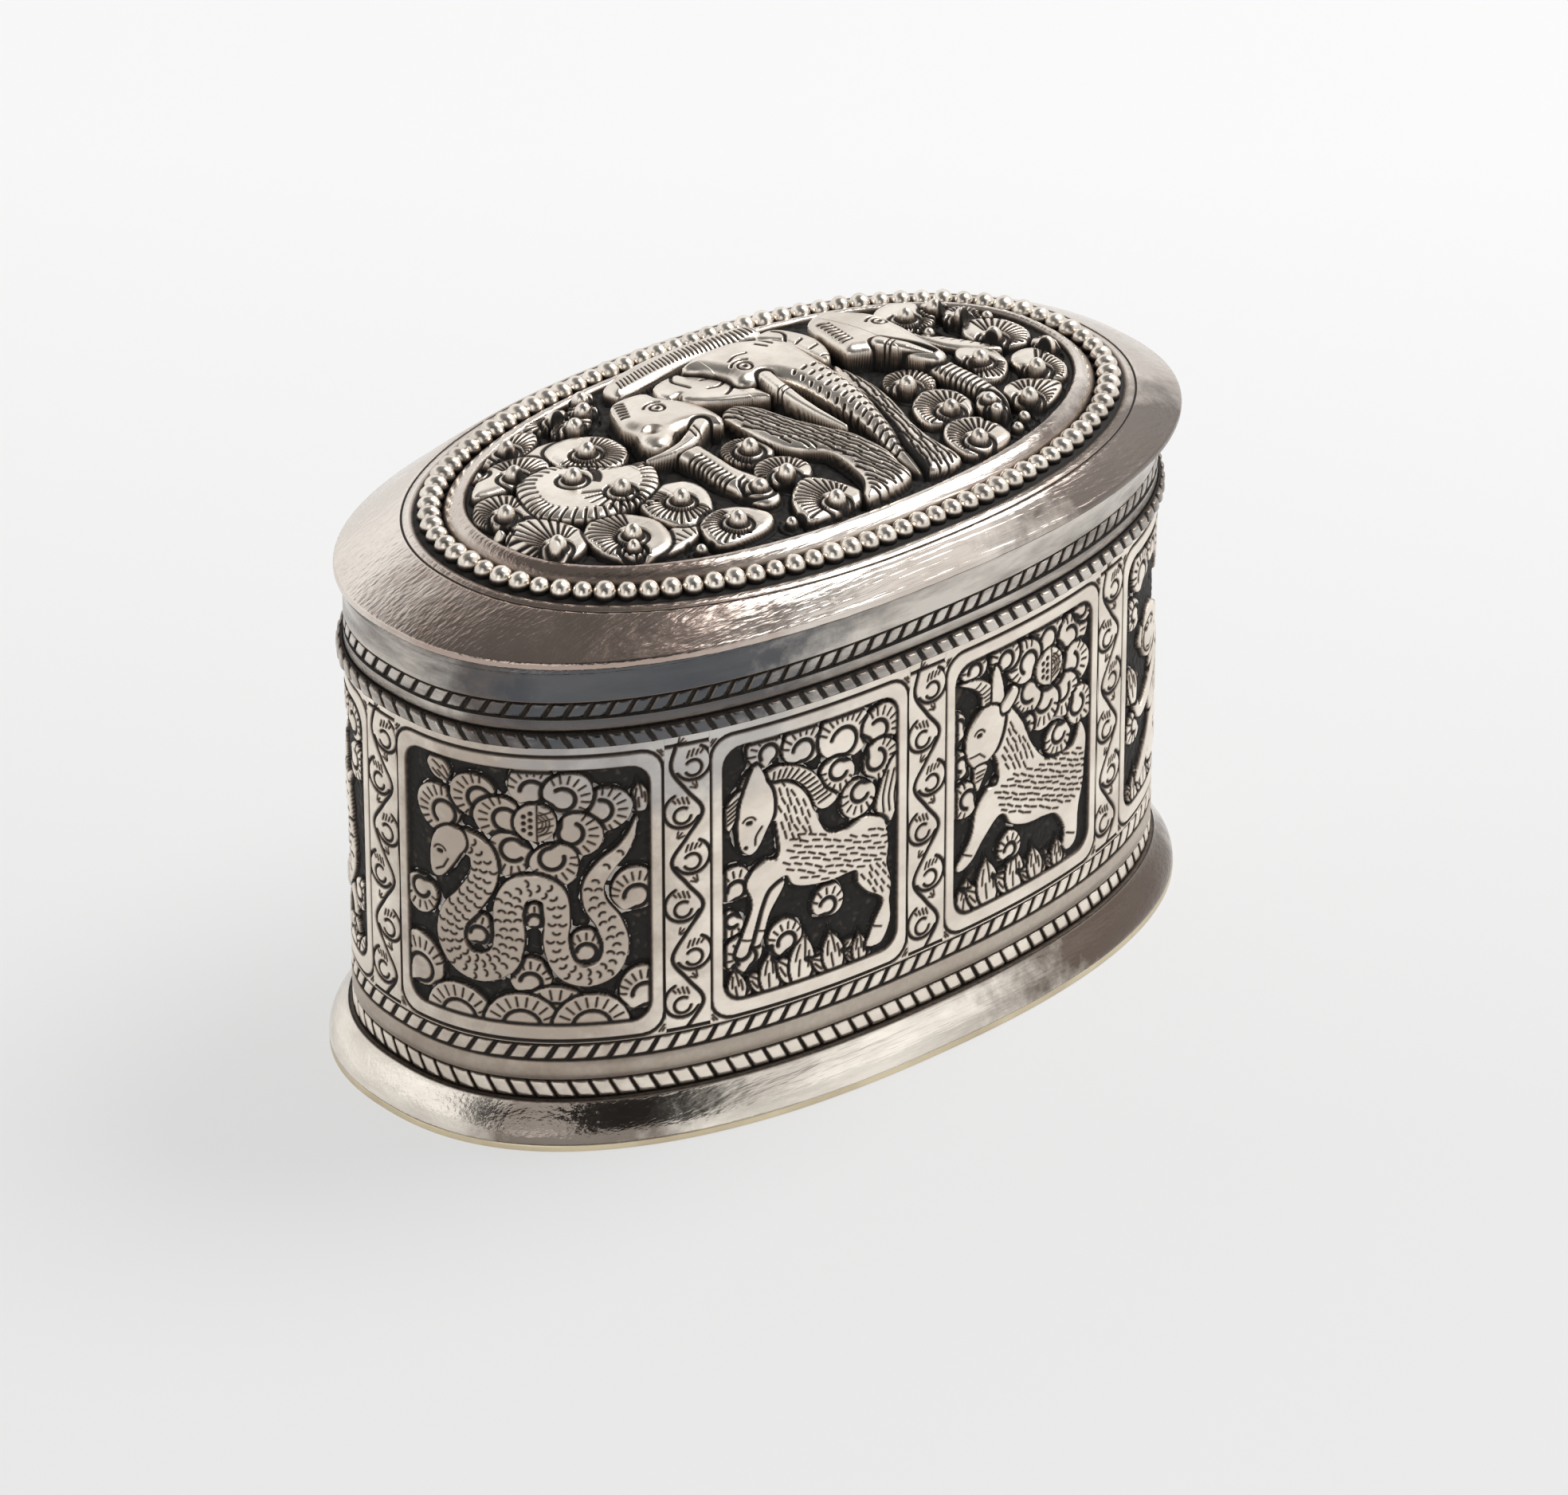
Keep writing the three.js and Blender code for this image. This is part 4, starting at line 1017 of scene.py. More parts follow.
def draw_horse(r: Relief) -> None:
    """The horse, prancing to the left under a scrolling cloud of flowers."""
    flora(r, ((42.7, 43.1, 1.6, 130), (47.2, 42.4, 1.9, 90), (52.5, 42.0, 2.5, 80), (57.3, 41.4, 1.9, 40),
              (51.6, 37.7, 1.7, 250), (57.2, 37.6, 1.8, 350), (54.4, 34.1, 1.7, 250), (39, 27.8, 1.6, 100),
              (38.4, 23.5, 1.2, 230), (40.0, 19.2, 1.7, 130), (45.0, 19.8, 1.6, 110),
              (50.4, 22.5, 1.5, 80)),
          ((39.4, 4.2, 8), (43.2, 5.2, 0), (46.8, 6.2, -6), (51.4, 5.4, 8), (54.6, 3.8, 0)))
    r.form([(56.8, 31.4), (57.2, 33.8), (58.6, 36.8), (59.9, 37.4), (60.0, 34.2), (59.4, 31), (58.4, 29.5)],
           0.05, 0.4, 0.14)
    for x in (57.6, 58.4, 59.2):
        r.groove([(x + 0.1, 31), (x, 33), (x + 0.7, 35.8)], 0.24, smooth=True)
    r.form([(43.5, 28.2), (42, 25.8), (41.4, 22.5), (40.7, 20.3), (42.1, 20.2), (43.2, 23.5), (45, 26.7)],
           -0.05, 0.6, 0.16)
    body = [(41.3, 41.3), (39.3, 38.9), (38.9, 35.5), (39.1, 33.5), (39.4, 31.9), (40.5, 31.2), (41.5, 32),
            (42.8, 33.8), (43.7, 34.4), (44.0, 33.3), (44.3, 30.8), (43.8, 29.8), (42.4, 30.0),
            (40.8, 28.8), (40.3, 27.4), (41, 25), (40, 22), (39.0, 19.4), (40.3, 19.2), (41.3, 22),
            (42, 24.5), (43, 26.5), (45, 27.4), (46, 26), (48, 25.3), (51, 25), (54, 25.1), (54.4, 23.5),
            (55.6, 22), (57.1, 21), (57.8, 20), (56.8, 18.2), (56, 16.6), (55.5, 15.3), (57.5, 15.1),
            (58.8, 17.5), (58.7, 20), (58.9, 22.3), (58.3, 24.5), (58.5, 27), (58.1, 29.5), (57.2, 30.6),
            (55, 31.3), (52.5, 30.6), (50.5, 31), (49.4, 32.6), (48.7, 34.6), (47.6, 36.8), (46, 38.6),
            (44.2, 39.8), (43, 40.2), (42.5, 37), (43, 35)]
    r.form(body, 0.12, 1.5, 0.3, 0.6)
    r.strokes([(45.5, 32), (45, 28), (50, 25.2), (58, 25.5), (58.3, 29.8), (52, 30.3), (48.5, 32.5)], 1.15,
              0.9, 160, 3, 0.3)
    r.strokes([(44, 39), (44.4, 31.5), (48, 31.5), (48, 35), (46, 38)], 1.1, 0.9, 112, 4, 0.25)
    r.strokes([(54.5, 25), (55.5, 22), (58.6, 20.5), (58.5, 25)], 1.1, 0.8, 125, 5, 0.3)
    r.form([(42.2, 40.3), (44, 40.9), (46.6, 40.2), (48.8, 38.6), (49.9, 36.6), (51.5, 35.1), (50.2, 34.1),
            (48.9, 34.5), (48.2, 36.2), (47, 37.9), (45.2, 39.1), (43.2, 39.5)], 0.1, 0.4, 0.12, 0.5)
    r.rungs([(43.2, 40.4), (45.6, 40.3), (48, 38.9), (49.4, 37), (50.8, 35.4)],
            [(43.2, 39.7), (45, 39.4), (46.8, 38.4), (48.2, 36.6), (49.2, 34.8)], 13, 0.26, 0.16)
    r.form([(41.3, 41.8), (40.2, 39.6), (39.5, 37.4), (39.2, 35), (39.5, 32.4), (40.6, 31.2), (41.7, 31.9),
            (42.7, 33.8), (43.5, 35.6), (43.4, 38), (42.6, 39.8), (42.2, 41)], 0.2, 1.0, 0.22, 0.5)
    r.form([(39.7, 39.2), (38.2, 38), (37.7, 36), (38.2, 34.6), (39, 35.8), (39.2, 37.6)], 0.0, 0.4, 0.1)
    r.rungs([(39.3, 38.6), (39, 35.8)], [(38.1, 37.8), (38, 35.2)], 5, 0.24)
    r.groove([(41.2, 32.4), (41.3, 33.4), (42.0, 34.4)], 0.24, smooth=True)
    r.ring(40.1, 32.3, 0.1, 0.3)
    eye(r, 40.5, 35.2)
    for x, y in ((40.2, 21), (42.2, 21.6), (56.8, 17.4)):
        r.groove([(x - 0.7, y + 0.2), (x + 0.6, y - 0.2)], 0.2)


def draw_goat(r: Relief) -> None:
    """The goat, leaping to the left beside a flower."""
    seed_head(r, 82.3, 39.3, ((82, 43.2), (86.2, 41.6), (86.6, 37.8), (84.8, 34.9), (81.4, 34.9),
                              (78.6, 37.3), (78.4, 41.4)), 2.2, 1.9)
    flora(r, ((75.2, 43.2, 1.6, 100), (70.5, 43.6, 1.4, 100), (84, 29.9, 1.6, 260), (87.8, 32.3, 1.7, 340),
              (69.3, 28, 1.6, 180), (67.9, 37.3, 1.3, 180), (88.2, 44, 1.3, 45), (78.2, 33.6, 1.2, 270),
              (68.4, 32.6, 1.2, 180), (74.6, 27.5, 1.2, 0)),
          ((69.2, 4.8, -8), (73, 6.2, 4), (77, 5.6, 0), (80.6, 4.6, 8), (84.2, 3.8, 0)))
    scroll(r, 76.2, 19.6, 1.3, 90)
    r.form([(73.5, 38), (73.3, 40.4), (71.2, 42), (68.4, 42.3), (70.4, 41.1), (71.6, 39.9), (71.9, 38.2)],
           0.05, 0.5, 0.16)
    r.rungs([(73.4, 38.5), (73.1, 40.2), (71, 41.8)], [(72.2, 38.5), (71.8, 39.8), (70.2, 41.2)], 6)
    r.form([(73.3, 38), (73.2, 40.4), (73.7, 42.8), (74.7, 41), (75, 38.2)], 0.0, 0.4, 0.12)
    body = [(75.0, 37.4), (77.6, 35), (79.2, 31.8), (81, 29.2), (83, 27.8), (86, 27.5), (87.4, 28.6),
            (88.2, 30), (89.2, 28), (89, 25), (88.8, 22.5), (88, 19.5), (87.7, 16), (86.3, 15),
            (85.3, 15.8), (85.5, 18), (84, 20.3), (82, 21), (79, 21.3), (76.5, 22.3), (75.5, 23.8),
            (74.2, 24), (72, 22), (70.5, 20.2), (68.8, 19.4), (68.2, 20.2), (70.3, 23), (71, 26),
            (72.5, 28), (74.2, 28.3), (74.3, 30.5), (73.6, 33)]
    r.form(body, 0.1, 1.4, 0.3, 0.6)
    r.strokes([(75.6, 29), (73.5, 25.5), (80, 22), (88, 20.5), (88.6, 27), (80, 28.6)], 1.1, 0.95, 155, 8,
              0.35)
    r.strokes([(75.4, 36.2), (74.6, 31), (75.5, 29), (80, 29), (78, 33)], 1.1, 0.95, 118, 9, 0.3)
    r.form([(70.9, 37.7), (69.6, 35.9), (69.4, 33.8), (70.1, 32), (71.4, 30.8), (72.4, 31.5), (73.9, 32.6),
            (74.9, 34.6), (75.1, 36.7), (73.8, 38), (72.2, 38.3)], 0.16, 1.2, 0.28)
    r.form([(70.9, 31.5), (70.7, 30), (71.1, 28.4), (71.9, 29.6), (72.6, 31.2)], 0.0, 0.4, 0.14)
    r.rungs([(70.9, 31), (71, 29.4)], [(72.3, 31), (71.6, 29.6)], 3)
    r.form([(74.6, 37.6), (76.4, 39.2), (77.2, 38.4), (76, 36.8), (74.8, 36.6)], 0.05, 0.4, 0.12)
    r.groove([(69.9, 33.0), (71.2, 33.1), (72, 32.4)], 0.2)
    eye(r, 71.2, 35.3)
    for x, y in ((69.6, 21.2), (86.4, 17)):
        r.groove([(x - 0.6, y + 0.3), (x + 0.7, y - 0.3)], 0.2)


def draw_monkey(r: Relief) -> None:
    """The monkey, sitting with a branch in its hand."""
    flora(r, ((-8, 42, 1.9, 120), (-3.5, 43, 1.6, 90), (1.5, 41.5, 2.1, 90), (6, 42.6, 1.7, 60),
              (9.6, 39.5, 1.9, 20), (5.4, 37.8, 1.7, 330), (9.5, 34.6, 1.6, 0), (-10, 28.5, 1.5, 180),
              (-9.6, 23.4, 1.4, 200), (-10.2, 37.6, 1.4, 180)), (-9, -5.5, -1.5, 3.5, 8.5))
    r.tube([(7.5, 20), (10, 22), (10.3, 26), (8, 28.4), (6.4, 27), (7.4, 25.6)], [1.4, 1.2, 1.0, 0.7], 0.0)
    r.form([(-3.5, 29.5), (-2, 31.5), (2, 31), (6, 27.5), (8, 22), (7, 17), (2, 15.6), (-3, 15.8),
            (-4.6, 18), (-1.5, 19), (-3.5, 23), (-4, 26)], 0.12, 1.6, 0.32)
    r.strokes([(-3, 29), (2, 30.5), (7, 23), (6.5, 17), (-0.5, 17), (-2.5, 23)], 1.2, 0.95, 115, 11, 0.4)
    r.tube([(-1, 28.5), (-5, 25.5), (-8, 24.5), (-9.5, 27)], [2.2, 1.7, 1.3, 1.0], 0.16)
    r.tube([(3.5, 19), (-1, 21.5), (-5, 18.6), (-8, 16.4)], [3.0, 2.4, 1.8, 1.4], 0.16)
    r.form(arc(-7, 33.4, 1.4, 0, 345), 0.0, 0.4, 0.14, smooth=False)
    r.form(arc(-4.2, 33, 3.1, 0, 345, 1.05), 0.16, 1.5, 0.3, smooth=False)
    r.form(arc(-1.4, 33.6, 1.3, 0, 345), 0.1, 0.5, 0.14, smooth=False)
    r.groove(arc(-4.8, 32.8, 2.1, 60, 290), 0.24)
    for x in (-6, -4):
        eye(r, x, 33.8, 0.42)
    r.groove([(-6, 31.6), (-5, 31.2), (-3.9, 31.6)], 0.22)
    blade(r, -9.6, 26.5, 7, 2.4, 95, 25)


def draw_rooster(r: Relief) -> None:
    """The rooster, striding with its tail raised."""
    flora(r, ((-10, 28, 1.5, 180), (-9.8, 23.6, 1.5, 180), (-4, 42.8, 1.8, 100), (1, 42, 2.0, 90),
              (5.4, 43, 1.6, 80), (-10.2, 42.4, 1.4, 140), (-1.8, 38.6, 1.5, 200), (2.4, 37.6, 1.6, 0),
              (-9.9, 18.8, 1.5, 200)), (-8, -4.5, 1, 5.5, 9.5))
    for angle, bend, length in ((75, -60, 15), (55, -62, 14), (35, -60, 12), (14, -50, 9)):
        blade(r, 4, 24, length, 3.0, angle, bend)
    for x in (-2, 2):
        r.tube([(x, 22), (x + 0.6, 18.4), (x - 0.4, 15.2)], [1.3, 0.9, 0.8], 0.0)
        r.tube([(x - 2, 14.8), (x + 1.6, 15)], [0.8, 0.7], 0.0)
    r.form([(-7.5, 37), (-5, 37.4), (-3.6, 34), (-1, 29), (3, 27), (7, 27.5), (7.5, 24.5), (4, 21.5),
            (-1, 20.4), (-5.4, 22), (-7.4, 26.5), (-7, 31), (-8.4, 34.4)], 0.14, 1.6, 0.34)
    r.form([(-4.6, 27.5), (0, 28.4), (5, 26.4), (2.5, 23.4), (-2, 22.6), (-4.8, 24.4)], 0.22, 0.5, 0.14)
    r.rungs([(-3.6, 26.8), (0, 27.6), (4, 26)], [(-3.8, 24.8), (-1, 23.2), (3, 24)], 9)
    r.strokes([(-7, 34), (-4.4, 34), (-2.5, 29), (-6.6, 29)], 1.1, 1.1, 100, 12, 0.3)
    r.form([(-8.2, 37.4), (-9, 39.2), (-7.6, 38.6), (-7, 40), (-6, 38.6), (-4.8, 39.4), (-5, 37.2)], 0.05,
           0.3, 0.12)
    r.form([(-8.2, 36.4), (-10.6, 35.2), (-8.2, 34.8)], 0.05, 0.3, 0.12)
    r.form([(-8.2, 34.4), (-8.6, 32.4), (-7.4, 32.6), (-7, 34.2)], 0.0, 0.3, 0.12)
    eye(r, -6.6, 36, 0.42)


def draw_dog(r: Relief) -> None:
    """The dog, standing with its tail curled over its back."""
    flora(r, ((-8.6, 42.6, 1.7, 110), (-4, 42.4, 1.8, 90), (1, 42.8, 1.7, 90), (6, 41.6, 2.1, 70),
              (10, 37.6, 1.6, 20), (1.6, 38, 1.6, 240), (-10, 24, 1.4, 180), (-10.2, 19.4, 1.3, 200),
              (4.6, 36.6, 1.4, 300)), (-8.4, -2.5, 1.6, 9.4))
    r.tube([(7, 28), (9.6, 30.4), (8.8, 33.6), (6, 33), (6.6, 31)], [2.0, 1.8, 1.5, 0.8], 0.05)
    for x, lean in ((-3.4, -0.6), (5.4, 0.8)):
        r.tube([(x + 1.4, 24), (x + 2.2 + lean, 19), (x + 1.6, 15.4)], [2.4, 1.7, 1.5], -0.1)
    r.form([(-7.2, 33.6), (-4, 33), (-2.6, 29.6), (2, 28.6), (6.5, 29.4), (9, 26.6), (9.2, 22), (8.8, 15),
            (6.8, 15), (6.4, 20.4), (3, 23), (-1.6, 22.4), (-3.2, 20), (-3.6, 15), (-5.6, 15), (-6, 20),
            (-7, 24), (-7.6, 29)], 0.12, 1.5, 0.32)
    r.strokes([(-6.6, 31), (-3.4, 31), (-2, 28.4), (8, 28), (8.6, 22.6), (-6, 22.4)], 1.25, 1.0, 170, 13,
              0.4)
    r.form([(-11, 33.4), (-10.4, 35.4), (-7.6, 37.4), (-4.4, 37.2), (-3.2, 34.4), (-4, 31.6), (-7, 31.2),
            (-9.6, 31.8)], 0.18, 1.3, 0.3)
    r.form([(-4.6, 37.4), (-3, 39.6), (-1.8, 37.6), (-2.6, 34.2), (-3.8, 35)], 0.14, 0.5, 0.16)
    r.groove([(-10.4, 32.9), (-8.4, 33.2), (-7, 32.8)], 0.22)
    eye(r, -7.2, 35)


def draw_pig(r: Relief) -> None:
    """The pig, trotting with its snout low."""
    flora(r, ((-9, 42.4, 1.8, 120), (-4.4, 42.4, 1.9, 90), (0.6, 42, 2.1, 90), (5.6, 42.4, 1.8, 80),
              (10, 40.6, 1.7, 30), (-2, 38, 1.6, 250), (3.2, 37.6, 1.6, 270), (7.4, 37.4, 1.6, 300),
              (-10, 35.6, 1.5, 170), (-6.6, 37.4, 1.5, 200)), (-9.6, -6.2, 1.0, 4.4, 10))
    r.tube([(9, 28.4), (10.6, 29.6), (10.4, 31.2), (9.2, 30.6)], [0.9, 0.7, 0.5], 0.0)
    for x in (-2.6, 6.0):
        r.tube([(x, 21), (x - 0.8, 15.4)], [2.4, 1.7], -0.1)
    r.form([(-8.6, 30.6), (-5, 33), (0, 33.8), (5, 33), (8.8, 30), (9.8, 26), (9.4, 21), (9, 15.2),
            (6.8, 15.2), (6.6, 19), (3.6, 20), (-2, 19.4), (-4.2, 18.6), (-4.6, 15.2), (-6.8, 15.2),
            (-6.6, 20), (-8.4, 23)], 0.18, 2.0, 0.4)
    r.strokes([(-5, 31.6), (4, 32), (8.6, 28), (8.8, 21), (0, 20.6), (-4, 21)], 1.35, 1.0, 178, 14, 0.5)
    r.form([(-11.4, 24.6), (-11, 27.4), (-8.8, 30.8), (-5.2, 31.4), (-3.6, 28.6), (-4.4, 25.2), (-7.6, 23),
            (-10, 22.8)], 0.24, 1.4, 0.3)
    r.form([(-5.4, 31.6), (-3.6, 34), (-2, 31.8), (-2.8, 28.6), (-4.4, 29.6)], 0.2, 0.5, 0.16)
    r.groove(arc(-10.6, 25.4, 1.3, -100, 60), 0.22)
    r.groove([(-10, 23.8), (-8, 24.6)], 0.22)
    eye(r, -7.4, 28.4)
    r.rungs([(-4, 33.6), (4, 34)], [(-4, 32.4), (4, 32.6)], 11)


def draw_dragon(r: Relief) -> None:
    """The dragon, with a crest, a mane and clawed legs."""
    flora(r, ((-9.4, 42.6, 1.6, 120), (-5, 42.8, 1.5, 90), (9.6, 42.2, 1.7, 60), (5.2, 42.6, 1.6, 90),
              (0, 42.4, 1.9, 90), (10, 37.6, 1.6, 0), (-10, 24.4, 1.5, 180), (10.4, 21.6, 1.4, 0),
              (0.6, 24.2, 1.5, 90), (-2.2, 30.4, 1.4, 200)), ())
    scallops(r, (-12, -5.6, 0.8, 7.2, 13))
    body = [(-6.4, 35.4), (-3.4, 36.4), (0.4, 35.6), (2.4, 32.4), (0.6, 29), (-4, 27.6), (-7, 25),
            (-6.6, 21.4), (-3, 19.6), (1.4, 19.8), (5, 21.6), (7.6, 25), (7, 29), (6.4, 33), (8.4, 35.4)]
    widths = [3.0, 3.2, 3.6, 3.8, 3.8, 3.6, 3.4, 2.8, 1.9, 0.5]
    for x, y, way in ((3.4, 31.4, 1), (-6.6, 23.4, -1), (5.6, 21.6, 1)):
        r.tube([(x, y), (x + 2.4 * way, y - 1.6), (x + 3.2 * way, y - 4)], [2.0, 1.3, 1.0], 0.0)
        for turn in (-40, 0, 40):
            c, s = math.cos(math.radians(-90 + turn)), math.sin(math.radians(-90 + turn))
            r.tube([(x + 3.2 * way, y - 4), (x + 3.2 * way + 1.4 * c, y - 4 + 1.4 * s)], [0.7, 0.3], 0.0)
    line = r.tube(body, widths, 0.14)
    scales(r, line, widths)
    for turn, x, y in ((120, -2.6, 38), (100, 0.2, 37.6), (70, 2.6, 36.2), (40, 3.8, 33.8)):
        blade(r, x, y, 3.2, 1.4, turn, -40)
    r.form([(-11.4, 33.8), (-10.4, 36.4), (-7.6, 38), (-4.2, 37.6), (-3, 35.2), (-4.6, 33), (-7.4, 33.4),
            (-9.4, 32.8)], 0.2, 1.2, 0.3)
    r.form([(-9.8, 32.4), (-7.2, 32.8), (-5, 32.2), (-6.4, 30.8), (-9.2, 31)], 0.14, 0.6, 0.16)
    r.tube([(-5, 37.4), (-3.4, 40), (-1, 41)], [1.3, 0.9, 0.4], 0.1)
    r.rungs([(-9.8, 33.4), (-6, 33.6)], [(-9.6, 32.4), (-6, 32.6)], 6)
    eye(r, -7.4, 35.8)


def rounded_box(x0: float, x1: float, y0: float, y1: float, radius: float) -> Array:
    """A rectangle's outline with rounded corners, counter-clockwise."""
    corners = ((x1 - radius, y0 + radius, -90), (x1 - radius, y1 - radius, 0),
               (x0 + radius, y1 - radius, 90), (x0 + radius, y0 + radius, 180))
    return np.concatenate([arc(x, y, radius, start, start + 90) for x, y, start in corners])


def chase_panel(r: Relief, x0: float, x1: float, draw: Callable[[Relief], None], seed: int) -> None:
    """Chases one panel: the sunk ground, what stands in it, and the plain frame round it.

    Args:
        r: The sheet.
        x0: Its left edge along the wall.
        x1: Its right edge.
        draw: Draws what stands in the panel.
        seed: Seed of the ground's grain.
    """
    inset = WINDOW_INSET - STRIP_HALF
    window = rounded_box(x0 + inset, x1 - inset, WINDOW_LOW, WINDOW_HIGH, WINDOW_CORNER)
    away, _ = path_distance(r.x, r.y, np.concatenate([window, window[:1]]))
    depth = np.where(holds(window, r.x, r.y), away, -away)
    grain = np.random.default_rng(seed).normal(0, 1, r.shape)
    grain = (blur(grain, 1) / blur(grain, 1).std()).ravel()
    r.height[:] = GROUND + GROUND_GRAIN * grain
    draw(r)
    r.oxide = np.maximum(r.oxide, np.clip((-0.15 - r.height) / 0.2, 0, 1)
                         * np.clip(0.95 + 0.06 * grain, 0, 1))
    cover = np.clip(-depth / (1.4 * r.step) + 0.5, 0, 1)
    r.height *= 1 - cover
    r.height -= 0.12 * cover * (1 - np.clip(-depth / 0.5, 0, 1)) ** 2
    r.oxide *= 1 - cover
    # A dark band along the window's inner edge: oxide in the step, and painted shade under the frame's edge.
    r.oxide = np.maximum(r.oxide, np.clip(1.3 - np.abs(depth - 0.12) / 0.3, 0, 1))
    frame_line = rounded_box(x0 + 0.12, x1 - 0.12, ZONE_LOW + 0.2, FRAME_HIGH, STRIP_HALF)
    r.groove(np.concatenate([frame_line, frame_line[:1]]), 0.4, 0.2)
    for x, way in ((x0, 1), (x1, -1)):
        for y, up in ((ZONE_LOW + 0.2, 1), (FRAME_HIGH, -1)):
            for reach in (0.45, 0.85):
                r.groove([(x + way * reach * 0.9, y + up * 0.15), (x + way * 0.2, y + up * reach)], 0.22,
                         0.12)
    # Darkens the hollows by how far they sink below their surroundings: tarnish, and painted shade.
    r.oxide = np.maximum(r.oxide, 0.75 * r.cavities(0.5))


def chase_strip(r: Relief, seed: int) -> None:
    """Chases one upright vine strip, whose places are given from its middle line."""
    rng = np.random.default_rng(seed)
    heights = [43.5, 38.0, 32.3, 26.7, 20.7, 15.1]
    side = 1
    stem = [(-1.2 * side, FRAME_HIGH)]
    for y in heights:
        x = 0.6 * side + rng.uniform(-0.12, 0.12)
        start = -150 if side > 0 else -30
        r.groove(arc(x, y + 0.4, 2.05, start, start + 215 * side), 0.4, 0.22)
        r.groove(arc(x, y - 0.2, 0.95, 100 + 40 * side, 100 - 250 * side), 0.36, 0.2)
        for k in range(4):
            at = x + (k - 1.4) * 0.5 * side
            r.groove([(at, y + 1.15 + 0.1 * k), (at + 0.25 * side, y + 2.0 - 0.12 * abs(k - 1))], 0.24,
                     0.14)
        r.fan(x - 1.7 * side, y + 2.8, 0.2, 0.9, 20 if side > 0 else 100, 80 if side > 0 else 160, 3)
        stem += [(-1.75 * side, y), (0.0, y - 2.85)]
        side = -side
    r.groove(stem, 0.45, 0.24, smooth=True)
    r.groove([(-STRIP_HALF, FRAME_HIGH), (STRIP_HALF, FRAME_HIGH)], 0.4, 0.2)
    r.groove([(-STRIP_HALF, ZONE_LOW + 0.2), (STRIP_HALF, ZONE_LOW + 0.2)], 0.4, 0.2)
    # Darkens the hollows by how far they sink below their surroundings: tarnish, and painted shade.
    r.oxide = np.maximum(r.oxide, 0.75 * r.cavities(0.5))


FIELD_EDGE_Z, DOME_RISE, FIELD_INSET = 61.9, 1.2, 4.0
FIELD_LENGTH = BEAD_OVAL.half_length - FIELD_INSET
FIELD_WIDTH = BEAD_OVAL.half_width - FIELD_INSET
DRAWN_AT, DRAWN_SLANT = 62.0, (1.107, 1.286)
HEAD_HEIGHTS = ([-17.5, -9.5, 0.0, 9.0], [0.9, 1.8, 2.8, 3.6])
Rise = float | Callable[[Array], Array]

